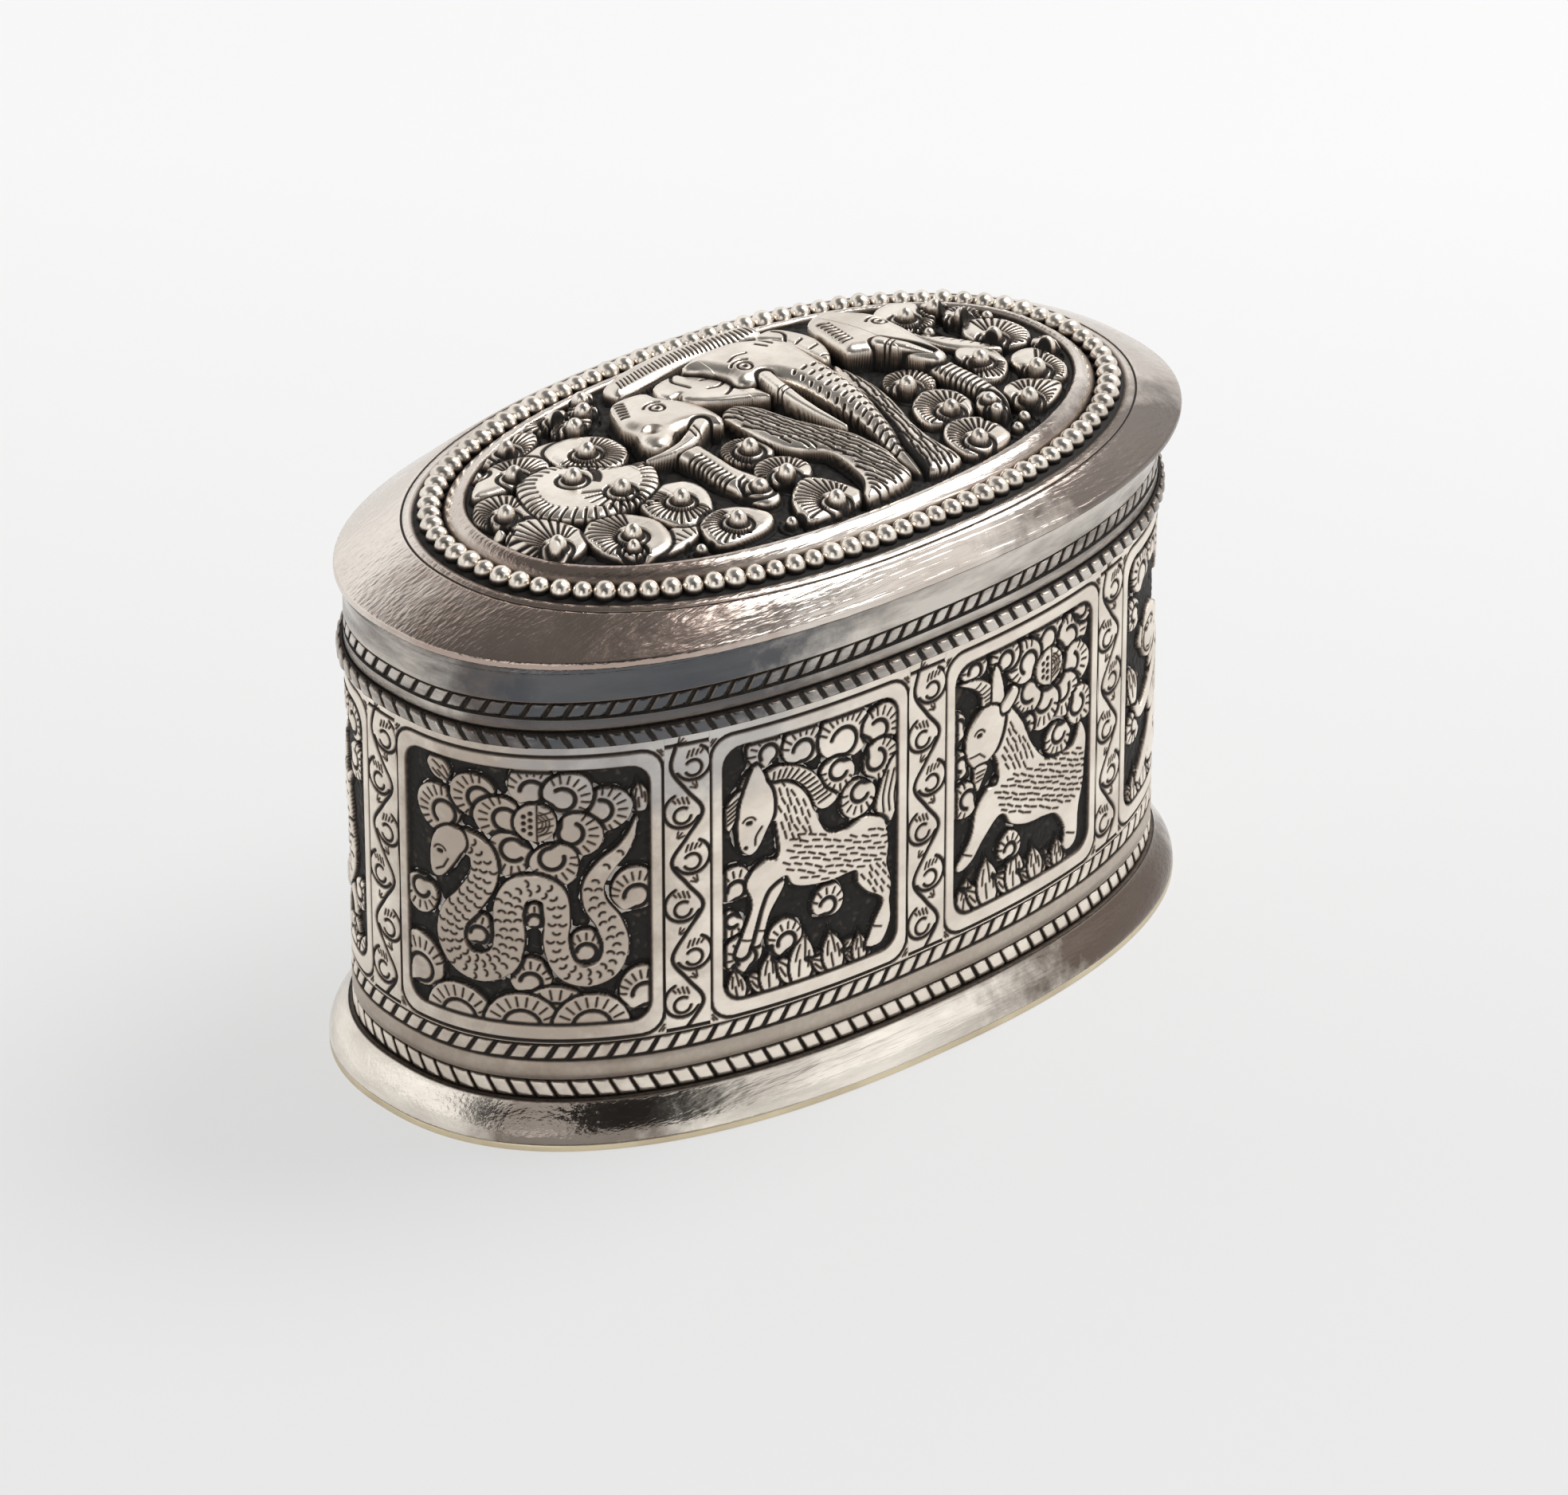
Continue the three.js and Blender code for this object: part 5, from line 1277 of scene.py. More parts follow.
LEAF_SIZE, BEAD_CLEARANCE, HATCH_STEP = 1.12, 1.9, 10
BEADED_LEAVES: tuple[tuple[Point, Path, tuple[float, float]], ...] = (
    ((-21.5, 15.7), arc(-21.3, 15.5, 3.9, 0, 345, 0.46, 15), (-60, 60)),
    ((-12.8, 17.8), arc(-14.3, 17.9, 3.2, 0, 345, 0.4, 0), (120, 240)),
    ((-12.5, 15.2), arc(-13, 15.2, 2.4, 0, 345, 0.5, 0), (120, 240)),
    ((-9.6, 17.3), arc(-9.7, 17.3, 1.5, 0, 345), (60, 200)),
    ((-8.0, 19.7), arc(-8.2, 19.7, 1.5, 0, 345, 0.8), (60, 200)),
    ((-24.5, 10.7), ((-30.5, 9.4), (-28, 12), (-25, 13.4), (-22, 13), (-20.6, 11.2), (-21.6, 9.2),
     (-25, 8.6)), (-40, 70)),
    ((-15.3, 9.8), ((-19.4, 8.5), (-18.8, 12), (-15.5, 12.8), (-12.4, 10.6), (-12.4, 7.2), (-14.6, 5.4),
     (-18, 5.8)), (-150, 20)),
    ((-30.8, 4.4), arc(-30.5, 4.8, 3.2, 0, 345), (50, 170)),
    ((-31.0, -4.3), ((-35, -1.4), (-32.4, 1.2), (-29.6, 1.2), (-27.9, -1.4), (-28, -5), (-31.4, -7),
     (-34.4, -4.8)), (50, 150)),
    ((-23.4, -7.4), ((-28.3, -9), (-27.5, -5), (-24.5, -2.9), (-22, -4), (-20.4, -7.6), (-22.4, -11.6),
     (-26.6, -12.2)), (95, 230)),
    ((-14.6, -4.8), ((-19.3, -6), (-18.5, -3), (-15.5, -1.8), (-12.4, -2.8), (-12.2, -5.8),
     (-14.8, -9.3), (-18.3, -9.5)), (140, 265)),
    ((-13.2, -12.3), ((-18, -15.3), (-17, -11.2), (-14, -9.8), (-11.4, -11), (-10.4, -14), (-13, -15.8)),
     (120, 235)),
    ((-1.8, -0.9), arc(-2.6, -1.4, 2.6, 0, 345), (90, 210)),
    ((-2.6, -7.8), arc(-2.6, -7.2, 2.8, 0, 345), (40, 170)),
    ((-2.4, -15.6), ((-7.3, -17.3), (-6, -13), (-2.6, -10.4), (-0.5, -12.5), (-0.3, -17)), (60, 170)),
    ((20.5, -0.9), arc(21, -0.6, 2.6, 0, 345), (0, 350)),
    ((20.4, -8.0), ((16.4, -9), (17.5, -5.5), (20.5, -3.7), (22.9, -5.5), (22.4, -9), (19.4, -10.5)),
     (50, 190)),
    ((18.2, -15.0), ((15, -17), (15.5, -13), (18, -10.8), (21, -12), (21, -16.3), (18, -17.5)),
     (50, 170)),
    ((31.3, 11.6), arc(31, 11.5, 3.1, 0, 345), (200, 340)),
    ((35.3, 11.3), arc(35.4, 11.2, 1.6, 0, 345), (-60, 60)),
    ((36.0, 7.6), arc(36.1, 7.7, 2.0, 0, 345), (-60, 60)),
    ((35.4, 1.9), ((33.6, 4.4), (35.8, 5.8), (38.4, 4), (38.8, 0.6), (37, -1.4), (34.4, -0.4),
     (33.4, 2)), (-70, 60)),
    ((30.6, -1.3), ((28.5, -3), (29, 0.5), (31, 1.8), (32.6, 0), (32.2, -3.5), (29.6, -5.8), (27.6, -5)),
     (190, 300)),
    ((38.6, -3.2), arc(38.6, -3.1, 1.5, 0, 345), (-60, 60)),
    ((34.0, -6.7), ((33, -4), (35, -3), (36.7, -4), (36.6, -8), (34.6, -10), (32.6, -8)), (-60, 30)),
    ((28.7, -11.3), ((27.4, -9), (29.5, -8), (31.5, -8.8), (33, -11.3), (29.4, -13.5), (26.8, -12.6)),
     (-30, 60)),
)


def ground_of(x: Array, y: Array) -> Array:
    """Height of the lid's domed ground."""
    power = BEAD_OVAL.power
    reach = (np.abs((x - BEAD_OVAL.middle[0]) / FIELD_LENGTH) ** power
             + np.abs(y / FIELD_WIDTH) ** power) ** (1 / power)
    return FIELD_EDGE_Z + DOME_RISE * (1 - reach**2)


def settle(points: Path, rise: Rise) -> Array:
    """Moves a drawing made on a level plane to where it lies on the dome, at a rise above the ground."""
    drawn = np.array(points, float)
    placed = drawn.copy()
    for _ in range(3):
        up = rise(placed[:, 1]) if callable(rise) else rise
        z = ground_of(placed[:, 0], placed[:, 1]) + 0.6 * up
        placed = drawn - np.outer(z - DRAWN_AT, DRAWN_SLANT)
    return placed


def along_head(y: Array) -> Array:
    """How high the middle elephant's head and trunk stand, from their foot to their top."""
    return np.interp(y, *HEAD_HEIGHTS)


def bead_on(r: Relief, at: Point, under: float, radius: float = 1.0, rise: float = 1.4) -> None:
    """Raises a bead on a leaf, with a ring round it."""
    x, y = settle([at], under + rise)[0]
    r.groove(arc(x - 0.2, y - 0.1, radius + 0.75, 100, 400), 0.45, 0.28)
    r.dome(x, y, radius, rise, moat=0.45)


def beaded_leaf(r: Relief, at: Point, outline: Path, hatch: tuple[float, float]) -> None:
    """Draws a rounded leaf with a bead on it and hatches on one side."""
    edge = settle(outline, 1.2)
    edge = edge.mean(0) + LEAF_SIZE * (edge - edge.mean(0))
    r.form(edge, 1.2, 1.2, 0.55, 0.5)
    x, y = settle([at], 2.2)[0]
    for angle in np.radians(np.arange(hatch[0] - 30, hatch[1] + 30, HATCH_STEP)):
        c, s = math.cos(angle), math.sin(angle)
        lengths = np.arange(BEAD_CLEARANCE, 7, 0.2)
        held = holds(edge, x + lengths * c, y + lengths * s)
        reach = lengths[np.argmin(held)] if not held.all() else lengths[-1]
        if reach > BEAD_CLEARANCE + 0.3:
            ends = np.array([[BEAD_CLEARANCE], [reach - 0.35]])
            r.groove((x, y) + ends * (c, s), 0.3, 0.24)
    bead_on(r, at, 1.2)


def draw_foliage(r: Relief) -> None:
    """The leaves and beads round the elephants."""
    r.form(settle([(-31, 8), (-24, 13), (-17, 13.8), (-12.5, 10.5), (-18, 10), (-25, 9)], 0.9), 0.9, 0.8,
           0.5)
    r.form(settle([(-27, -12.5), (-22, -9.5), (-17, -10), (-18, -12), (-22, -13.5)], 0.9), 0.9, 0.8, 0.5)
    r.rungs(settle([(-26, -12.2), (-18, -10.4)], 0.9), settle([(-24.6, -13), (-18.4, -12)], 0.9), 8)
    for at, outline, hatch in BEADED_LEAVES:
        beaded_leaf(r, at, outline, hatch)
    big = [(-28.5, 4), (-26, 8.5), (-21, 9.3), (-18.8, 7.5), (-16, 5), (-12.8, 4), (-12.5, 2), (-15, -1.5),
           (-20, -3.2), (-25, -2.5), (-28.5, 1)]
    edge = settle(big, 1.5)
    r.form(edge, 1.5, 1.6, 0.6, 0.5)
    r.rungs(np.concatenate([edge, edge[:1]]), np.concatenate([edge, edge[:1]]) * 0.76 + edge.mean(0) * 0.24,
            44, 0.3, 0.22)
    for at, start, end, reach in (((-20.3, 6), 300, 370, 2.9), ((-18, 0.8), 150, 290, 4.2)):
        x, y = settle([at], 2.4)[0]
        r.fan(x, y, 2.2, reach, start, end, 10, 0.34, 0.24)
        bead_on(r, at, 1.5)
    r.form(settle([(28.5, 8), (31, 5), (34, -0.5), (33, -1), (29.5, 3)], 1.0), 1.0, 0.7, 0.5)
    r.rungs(settle([(28.8, 7), (33.5, -0.6)], 1.0), settle([(30.5, 6), (34, 0)], 1.0), 8)
    for x, y in ((-26, -10.6), (-20, -14.4), (-9, -16), (25.6, -14), (24.4, 12.9), (31, 7.4), (-34, 1.6),
                 (23.4, -15.4), (38.6, 6.4), (-27.6, 13.2)):
        bead_on(r, (x, y), 0.2, 0.75, 1.1)


def draw_back(r: Relief) -> None:
    """The far animal's back, which shows behind the heads."""
    hump = [(-5.3, 18.5), (-4.5, 20), (0, 21.6), (6, 22.2), (14, 21.7), (16.5, 20.8), (17, 19.5),
            (16, 18.2), (12, 19), (6, 18.6), (0, 17.4), (-4.5, 17)]
    r.form(settle(hump, 2.0), 2.0, 2.2, 1.3, 0.5)
    low, high = [(-4.2, 17.8), (6, 19.2), (16.4, 18.9)], [(-3.8, 19), (6, 20.4), (16, 20)]
    r.rungs(settle(low, 2.0), settle(high, 2.0), 34)


def draw_legs(r: Relief) -> None:
    """The middle elephant's two forelegs, with hanging wrinkles."""
    left = [(0.2, 6), (2.5, 7), (4.5, 5), (5.5, 1), (7, -3), (8.3, -6), (8.6, -11), (7.8, -14),
            (6.5, -17.3), (0.5, -18.2), (0.2, -17), (2.5, -14), (3.5, -10), (3.5, -7), (1.5, -5), (0.3, -2),
            (0, 2)]
    right = [(17.3, 8), (17.8, 4), (17.5, 0), (16.5, -4), (15, -8), (14.2, -12), (13.5, -17.5), (9, -17.5),
             (9.8, -14), (11.5, -9), (13, -5), (14.8, 0), (15.8, 4), (16.5, 7)]
    for outline, rise, seed, angle in ((left, 1.9, 21, 102), (right, 1.5, 22, 75)):
        edge = settle(outline, rise)
        r.form(edge, rise, 1.4, 0.9, 0.55)
        r.strokes(edge, 1.0, 1.3, angle, seed, 0.45, 0.3)


def engraved_eye(r: Relief, at: Point, rise: float) -> None:
    """Cuts an elephant's eye: a ring, a dot and a brow."""
    x, y = settle([at], rise)[0]
    r.ring(x, y, 0.8, 0.3, 0.2)
    r.ring(x, y, 0.1, 0.4, 0.2)
    r.groove(arc(x, y - 0.3, 1.7, 50, 140), 0.32, 0.2)


def draw_middle_elephant(r: Relief) -> None:
    """The middle elephant: both ears, the head and trunk in one, a tusk and its marks."""
    left_ear = [(-2.4, 13.5), (-1.5, 15.3), (1.5, 16), (4, 15.3), (6, 13.5), (5.8, 11), (6.5, 9),
                (6.8, 5.5), (5, 6.5), (2, 8), (0, 9.5), (-1, 11), (-0.5, 12), (-2, 12)]
    right_ear = [(14.3, 17), (16.5, 17.6), (18, 16.5), (19.2, 13.5), (19, 11), (17.8, 8.5), (16.8, 8),
                 (16.4, 10), (16.3, 14), (15.8, 15)]
    for ear in (left_ear, right_ear):
        r.form(settle(ear, 2.4), 2.4, 0.8, 0.5, 0.55)
    for fold in (((1.6, 16), (0.6, 14.6), (1.2, 12.4)), ((2, 15.9), (4, 14.6), (6, 13.4)),
                 ((2.6, 11), (3.8, 10.7), (5.2, 11.2)), ((3.2, 13), (4.4, 12.7), (5.6, 12.9)),
                 ((3.2, 8.7), (4.2, 9.2), (5, 9.8)), ((16.6, 17), (17.2, 15.6), (16.4, 14.4)),
                 ((16.8, 13), (17.8, 13.4)), ((17, 11), (18.2, 11.3)), ((17, 9), (18, 8.7))):
        r.groove(settle(fold, 2.4), 0.36, 0.24, smooth=True)
    head = [(3.5, 16.5), (7, 17.7), (11, 17.6), (13.5, 16.4), (15.8, 15), (16.3, 12), (16.2, 9), (16, 5),
            (15.3, 0), (14, -4), (12.5, -8), (11, -11), (9.8, -14.5), (8.6, -17.3), (7.4, -17),
            (8.3, -13.5), (9.6, -9.5), (10.6, -6), (11, -2), (11, 3), (10.6, 7), (9.5, 8.8), (7, 9),
            (5.8, 10), (5.9, 12), (4.8, 14.5)]
    r.form(settle(head, along_head), lambda x, y: along_head(y), 1.9, 1.3, 0.6)
    engraved_eye(r, (8.2, 11.5), 3.3)
    r.groove(settle([(7.4, 13.3), (8.8, 13.9), (10.2, 13.7)], 3.4), 0.32, smooth=True)
    for a, b in (((12.2, 14.6), (12.9, 13.4)), ((13.2, 15), (13.8, 13.6)), ((14.4, 14.2), (14.9, 13.4))):
        r.groove(settle([a, b], 3.3), 0.3)
    for y in (7.6, 6.2, 4.8, 3.4, 2, 0.6, -0.8, -2.2, -3.6, -5, -6.4, -7.8, -9.2, -10.6, -12):
        centre = np.interp(y, [-17, -11, -4, 0, 8], [8, 10, 12.2, 13.2, 13.6])
        half = np.interp(y, [-17, -4, 8], [0.5, 1.5, 2.1])
        rise = float(along_head(np.array([y]))[0])
        for share, size in ((-0.8, 0.22), (-0.15, 0.5), (0.5, 0.4), (0.95, 0.2)):
            at = centre + share * half
            r.groove(settle([(at - size * 0.7, y), (at + size * 0.7, y + 0.25)], rise), 0.36, 0.22)
    r.tube(settle([(8.8, 8.8), (8.3, 5.5), (8.2, 1), (8.9, -4)], 3.0), [1.9, 1.8, 1.3, 0.7],
           [3.3, 3.2, 2.7, 2.0], 0.4, 0.8)
    for y in (5.6, 4.9):
        r.groove(settle([(7.3, y - 0.2), (9.3, y + 0.2)], 3.2), 0.22)


def draw_left_elephant(r: Relief) -> None:
    """The left elephant's head, turned down to the left, with its trunk curled outwards."""
    trunk = [(-7.9, 2.6), (-7.7, -1), (-7.8, -4), (-7.2, -7.4), (-7.3, -9.6)]
    r.tube(settle(trunk, 1.9), [3.4, 3.1, 3.4, 4.0, 3.6], [2.2, 1.9, 1.7, 1.5, 1.3], 0.5, 1.0)
    r.groove(settle(spiral(-7.2, -8.4, 2.2, 90, 0.9), 1.7), 0.35, 0.25)
    bead_on(r, (-6.9, -8.5), 1.2, 0.95, 0.9)
    r.rungs(settle([(-9.2, 0.5), (-9.4, -6)], 1.9), settle([(-7.8, 0.3), (-8, -6)], 1.9), 9, 0.34, 0.2)
    head = [(-10, 10.5), (-9, 13), (-8, 14.8), (-6.5, 15.5), (-4, 15.3), (-2.8, 14.5), (-2.5, 13),
            (-1, 10.8), (-0.2, 8.5), (-0.2, 5.5), (-1.2, 4.2), (-2.5, 5), (-4, 6), (-6, 6), (-7.5, 4.8),
            (-9, 4.2), (-10.3, 4.8), (-10.6, 6.5), (-9.8, 8.5)]
    r.form(settle(head, 2.8), 2.8, 1.7, 1.1, 0.6)
    x, y = settle([(-8.6, 7)], 2.4)[0]
    r.swell(x, y, 1.4, 1.2, -0.5)
    engraved_eye(r, (-4.7, 10.8), 2.8)
    r.rungs(settle([(-9.3, 11), (-7.6, 14.6)], 2.4), settle([(-8.6, 10.8), (-6.9, 14)], 2.6), 6, 0.34, 0.2)
    r.tube(settle([(-3.4, 5.2), (-6.4, 3.4), (-9, 3.0), (-12.2, 3.4)], 2.4), [2.0, 1.9, 1.4, 0.6],
           [2.8, 2.6, 2.2, 1.8], 0.4, 0.8)
    for x in (-4.4, -5.1):
        r.groove(settle([(x, 5.2), (x - 0.5, 3.4)], 2.7), 0.22)


def draw_right_elephant(r: Relief) -> None:
    """The right elephant's head, with its trunk curled at the end."""
    r.tube(settle([(26, 2.6), (25.8, -1), (26.2, -5), (26, -9), (25, -11.4)], 1.9),
           [3.4, 3.0, 2.8, 2.2, 1.6], [2.2, 1.9, 1.7, 1.4, 1.2], 0.5, 1.0)
    r.rungs(settle([(24.6, 1), (24.8, -8)], 1.9), settle([(27.4, 1.4), (27.4, -7.6)], 1.9), 12, 0.32, 0.2)
    curl = [(25, -7.5), (23, -9), (22.5, -12), (23.5, -13.2), (25, -12), (26, -9)]
    r.form(settle(curl, 1.7), 1.7, 1.3, 0.9, 0.5)
    bead_on(r, (24.5, -9.6), 1.5, 0.85, 0.8)
    bead_on(r, (23.4, -12), 1.2, 0.7, 0.7)
    head = [(19.7, 8), (19.8, 10), (20.2, 14.6), (21.5, 16.5), (24, 17), (26.5, 14.8), (28, 12.5),
            (28.3, 9), (28.2, 6), (28, 3), (27.6, 0.8), (26, 0.4), (24.6, 2.6), (23.6, 6), (21.5, 7)]
    r.form(settle(head, 3.0), 3.0, 1.7, 1.1, 0.6)
    engraved_eye(r, (26.6, 10.6), 2.8)
    r.rungs(settle([(20.2, 9), (20.8, 14.4)], 2.6), settle([(21.4, 9), (22, 14)], 2.8), 8, 0.34, 0.2)
    r.tube(settle([(23.4, 7), (25, 4.4), (26.4, 2)], 2.9), [2.0, 1.7, 0.9], [3.3, 3.1, 2.6], 0.4, 0.8)
    for y in (6.2, 5.6):
        r.groove(settle([(22.8, y - 0.4), (24.6, y + 0.3)], 3.1), 0.22)


@dataclass
class BoxMaker:
    """What every sub-assembly needs: the painter, the tree that repeats a piece, and their body."""

    painter: Painter
    tree: Tree
    body: str

    def rope(self, name: str, node: str, look: SilverLook, outset: float, z: float, lean: float, seed: int,
             height: float = 1.9, rise: float = 0.26, gap: float = 0.3) -> None:
        """Sets slanted strands round the wall's oval.

        Args:
            name: The piece's name.
            node: The CAD node that it belongs to.
            look: Its finish.
            outset: How far outside the wall the strands are rooted.
            z: Their middle height.
            lean: How far each one's top lies to the right.
            seed: Seed of their small differences.
            height: Their height.
            rise: How far they stand out.
            gap: How far apart they are.
        """
        pitch = WALL_OVAL.perimeter / ROPE_STRANDS
        strand = pillow(pitch - gap, height, rise, lean)
        line = level_line(WALL_OVAL, outset, z)
        made = repeat_round(name, self.tree, line, ROPE_STRANDS, strand, 0.05, seed,
                            self.painter.material(look))
        bpy.data.objects.remove(strand)
        self.painter.dress(made, look, self.body, node)


class Foot(BoxMaker):
    """The flared foot on its rim wire."""

    def build(self) -> None:
        """Makes both pieces."""
        spread, neck, rim_top, top = 2.65, 0.45, 0.9, 5.0
        outside, inside = [], []
        for share in np.linspace(0, 1, 17):
            z = top - (top - rim_top) * share
            outset = neck + (spread - neck) * math.sin(math.pi / 2 * share**0.85) ** 1.6
            outside.append(Station(WALL_OVAL, outset - 0.04, z, 0.9 if share == 0 else 0.0))
            inside.append(Station(WALL_OVAL, outset - 0.9, z, 0.3))
        flare = sweep("foot_flare", inside + outside[::-1], waver=hand_waver(5, 0.05))
        self.painter.dress(flare, FOOT_LOOK, self.body, "foot_ring")
        low, high = spread - 1.8, spread - 0.06
        rim = ((low, 0), (high - 0.15, 0), (high, 0.15), (high, 0.75), (high - 0.12, 0.88), (low, 0.88))
        wire = sweep("foot_rim", profile(WALL_OVAL, rim), waver=hand_waver(6, 0.03))
        self.painter.dress(wire, RIM_LOOK, self.body, "foot_rim_wire")


class Wall(BoxMaker):
    """The oval wall: eight chased panels between upright strips, over two notched bands."""

    STEP_FRONT, STEP_BACK, DEPTH = 0.13, 0.165, 0.85
    FRONT_PANELS = (0, 1, 2, 3, 7)
    DRAWINGS = ((draw_snake, True), (draw_horse, True), (draw_goat, True), (draw_monkey, False),
                (draw_rooster, False), (draw_dog, False), (draw_pig, False), (draw_dragon, False))

    def borders(self) -> list[float]:
        """Places of the upright strips, as lengths along the wall."""
        first, wide, narrow = -2.3, 35.8, 30.25
        rest = (WALL_OVAL.perimeter - wide - 2 * narrow) / 5
        return np.cumsum([first, wide, narrow, narrow, rest, rest, rest, rest, rest]).tolist()

    def sheet(self, name: str, x0: float, x1: float, step: float, chase: Callable[[Relief], None],
              origin: float = 0.0) -> None:
        """Chases one sheet of the wall and bends it round.

        Args:
            name: The piece's name.
            x0: Its left edge along the wall.
            x1: Its right edge.
            step: The size of its cells.
            chase: Draws on the sheet.
            origin: The place along the wall from which the drawing's places are counted.
        """
        top = WALL_HIGH[2]
        columns, rows = round((x1 - x0) / step) + 1, round((top - ZONE_LOW) / step) + 1
        along, up = np.meshgrid(np.linspace(x0, x1, columns), np.linspace(ZONE_LOW, top, rows))
        relief = Relief(along - origin, up, step)
        chase(relief)
        x, y = WALL_OVAL.at(along.ravel(), relief.height)
        front = np.stack([x, y, up.ravel()], 1)
        bx, by = WALL_OVAL.at(along[0], -self.DEPTH)
        back = np.concatenate([np.stack([bx, by, np.full(columns, z)], 1) for z in (ZONE_LOW, top)])
        made = slab(name, front, back, (rows, columns), relief.oxide)
        self.painter.dress(made, WALL_LOOK, self.body, "body_wall")

    def build(self) -> None:
        """Makes the panels, the strips, the bands under them and the lining."""
        edges = self.borders()
        for i, (draw, measured) in enumerate(self.DRAWINGS):
            x0, x1 = edges[i] + STRIP_HALF, edges[i + 1] - STRIP_HALF
            origin = 0.0 if measured else (x0 + x1) / 2
            step = self.STEP_FRONT if i in self.FRONT_PANELS else self.STEP_BACK
            chase = partial(chase_panel, x0=x0 - origin, x1=x1 - origin, draw=draw, seed=i)
            self.sheet(f"panel_{draw.__name__.removeprefix('draw_')}", x0, x1, step, chase, origin)
            self.sheet(f"vine_strip_{i + 1}", edges[i] - STRIP_HALF, edges[i] + STRIP_HALF, step,
                       partial(chase_strip, seed=40 + i), edges[i])
        low, inner, sunk, flush = WALL_LOW[2], -self.DEPTH, -0.26, -0.02
        bands = ((inner, low), (sunk, low, 1), (sunk, 7.3, 1), (flush, 7.42, 0.3), (flush, 9.5, 0.3),
                 (sunk, 9.64, 1), (sunk, 11.72, 1), (-0.04, 11.8, 0.2), (-0.04, ZONE_LOW, 0.2),
                 (inner, ZONE_LOW))
        ring = sweep("wall_foot_bands", profile(WALL_OVAL, bands))
        self.painter.dress(ring, WALL_LOOK, self.body, "body_wall")
        self.rope("wall_rope_low", "body_wall", WALL_LOOK, -0.27, 6.15, -1.1, 61, height=2.15, gap=0.1)
        self.rope("wall_rope_high", "body_wall", WALL_LOOK, -0.27, 10.68, 1.1, 62)
        top = WALL_HIGH[2] - 0.02
        corners = ((-1.1, low), (-0.7, low), (-0.7, top), (-1.1, top))
        lining = sweep("wall_lining", profile(WALL_OVAL, corners))
        self.painter.dress(lining, INSIDE_LOOK, self.body, "body_wall")
        low_z, high_z = (v[2] for v in node_box("floor_plate"))
        floor = sweep("floor", profile(WALL_OVAL, ((-0.55, low_z), (-0.55, high_z))), closed=False)
        self.painter.dress(floor, INSIDE_LOOK, self.body, "floor_plate")
        z0, z1 = COLLAR_LOW[2], COLLAR_HIGH[2]
        corners = ((-2.0, z0), (-1.2, z0), (-1.2, z1 - 0.35), (-1.3, z1 - 0.1), (-1.55, z1), (-1.85, z1),
                   (-2.0, z1 - 0.15))
        collar = sweep("collar", profile(WALL_OVAL, corners), waver=hand_waver(8, 0.02))
        self.painter.dress(collar, INSIDE_LOOK, self.body, "inner_collar")


class LidBand(BoxMaker):
    """The lid's band: a notched wire round its lower edge, a notched line, and a flare at its top."""

    def build(self) -> None:
        """Makes the band, its wire and both rows of notches."""
        low, high = BAND_LOW[2], BAND_HIGH[2]
        inner, outer, sunk, dark = -0.95, -0.07, -0.07 - 0.24, 0.9
        upright = ((inner, low, 0.2), (outer, low, dark), (outer, 49.45, dark), (outer, 49.6, 0.2),
                   (outer, 50.55), (outer, 50.66, dark), (sunk, 50.74, dark), (sunk, 52.6, dark),
                   (outer, 52.68, dark), (outer, 52.8))
        stations = profile(WALL_OVAL, upright)
        for angle in np.radians(np.linspace(0, 90, 10)):
            plan = WALL_OVAL if angle < 0.8 else PLATE_OVAL
            z = high - 1.6 * (1 - math.sin(angle))
            stations.append(Station(plan, outer + 1.5 * (1 - math.cos(angle)), z))
        stations.append(Station(WALL_OVAL, inner, high, 0.2))
        band = sweep("band", stations, waver=hand_waver(9, 0.02))
        self.painter.dress(band, BAND_LOOK, self.body, "lid_band")
        self.rope("band_rope", "lid_band", BAND_LOOK, outer - 0.25, 51.67, 1.0, 63, height=1.78)
        wire = ((0.02, 0.05), (0.35, 0.1), (0.5, 0.4), (0.55, 1.0), (0.5, 1.6), (0.3, 1.9), (0.02, 1.95))
        corners = ((outer + out, low + up, dark) for out, up in wire)
        core = sweep("moulding_core", profile(WALL_OVAL, corners))
        self.painter.dress(core, BAND_LOOK, self.body, "lid_moulding")
        self.rope("moulding_strands", "lid_moulding", BAND_LOOK, outer + 0.38, low + 1.0, -1.1, 64,
                  height=1.75, rise=0.46)


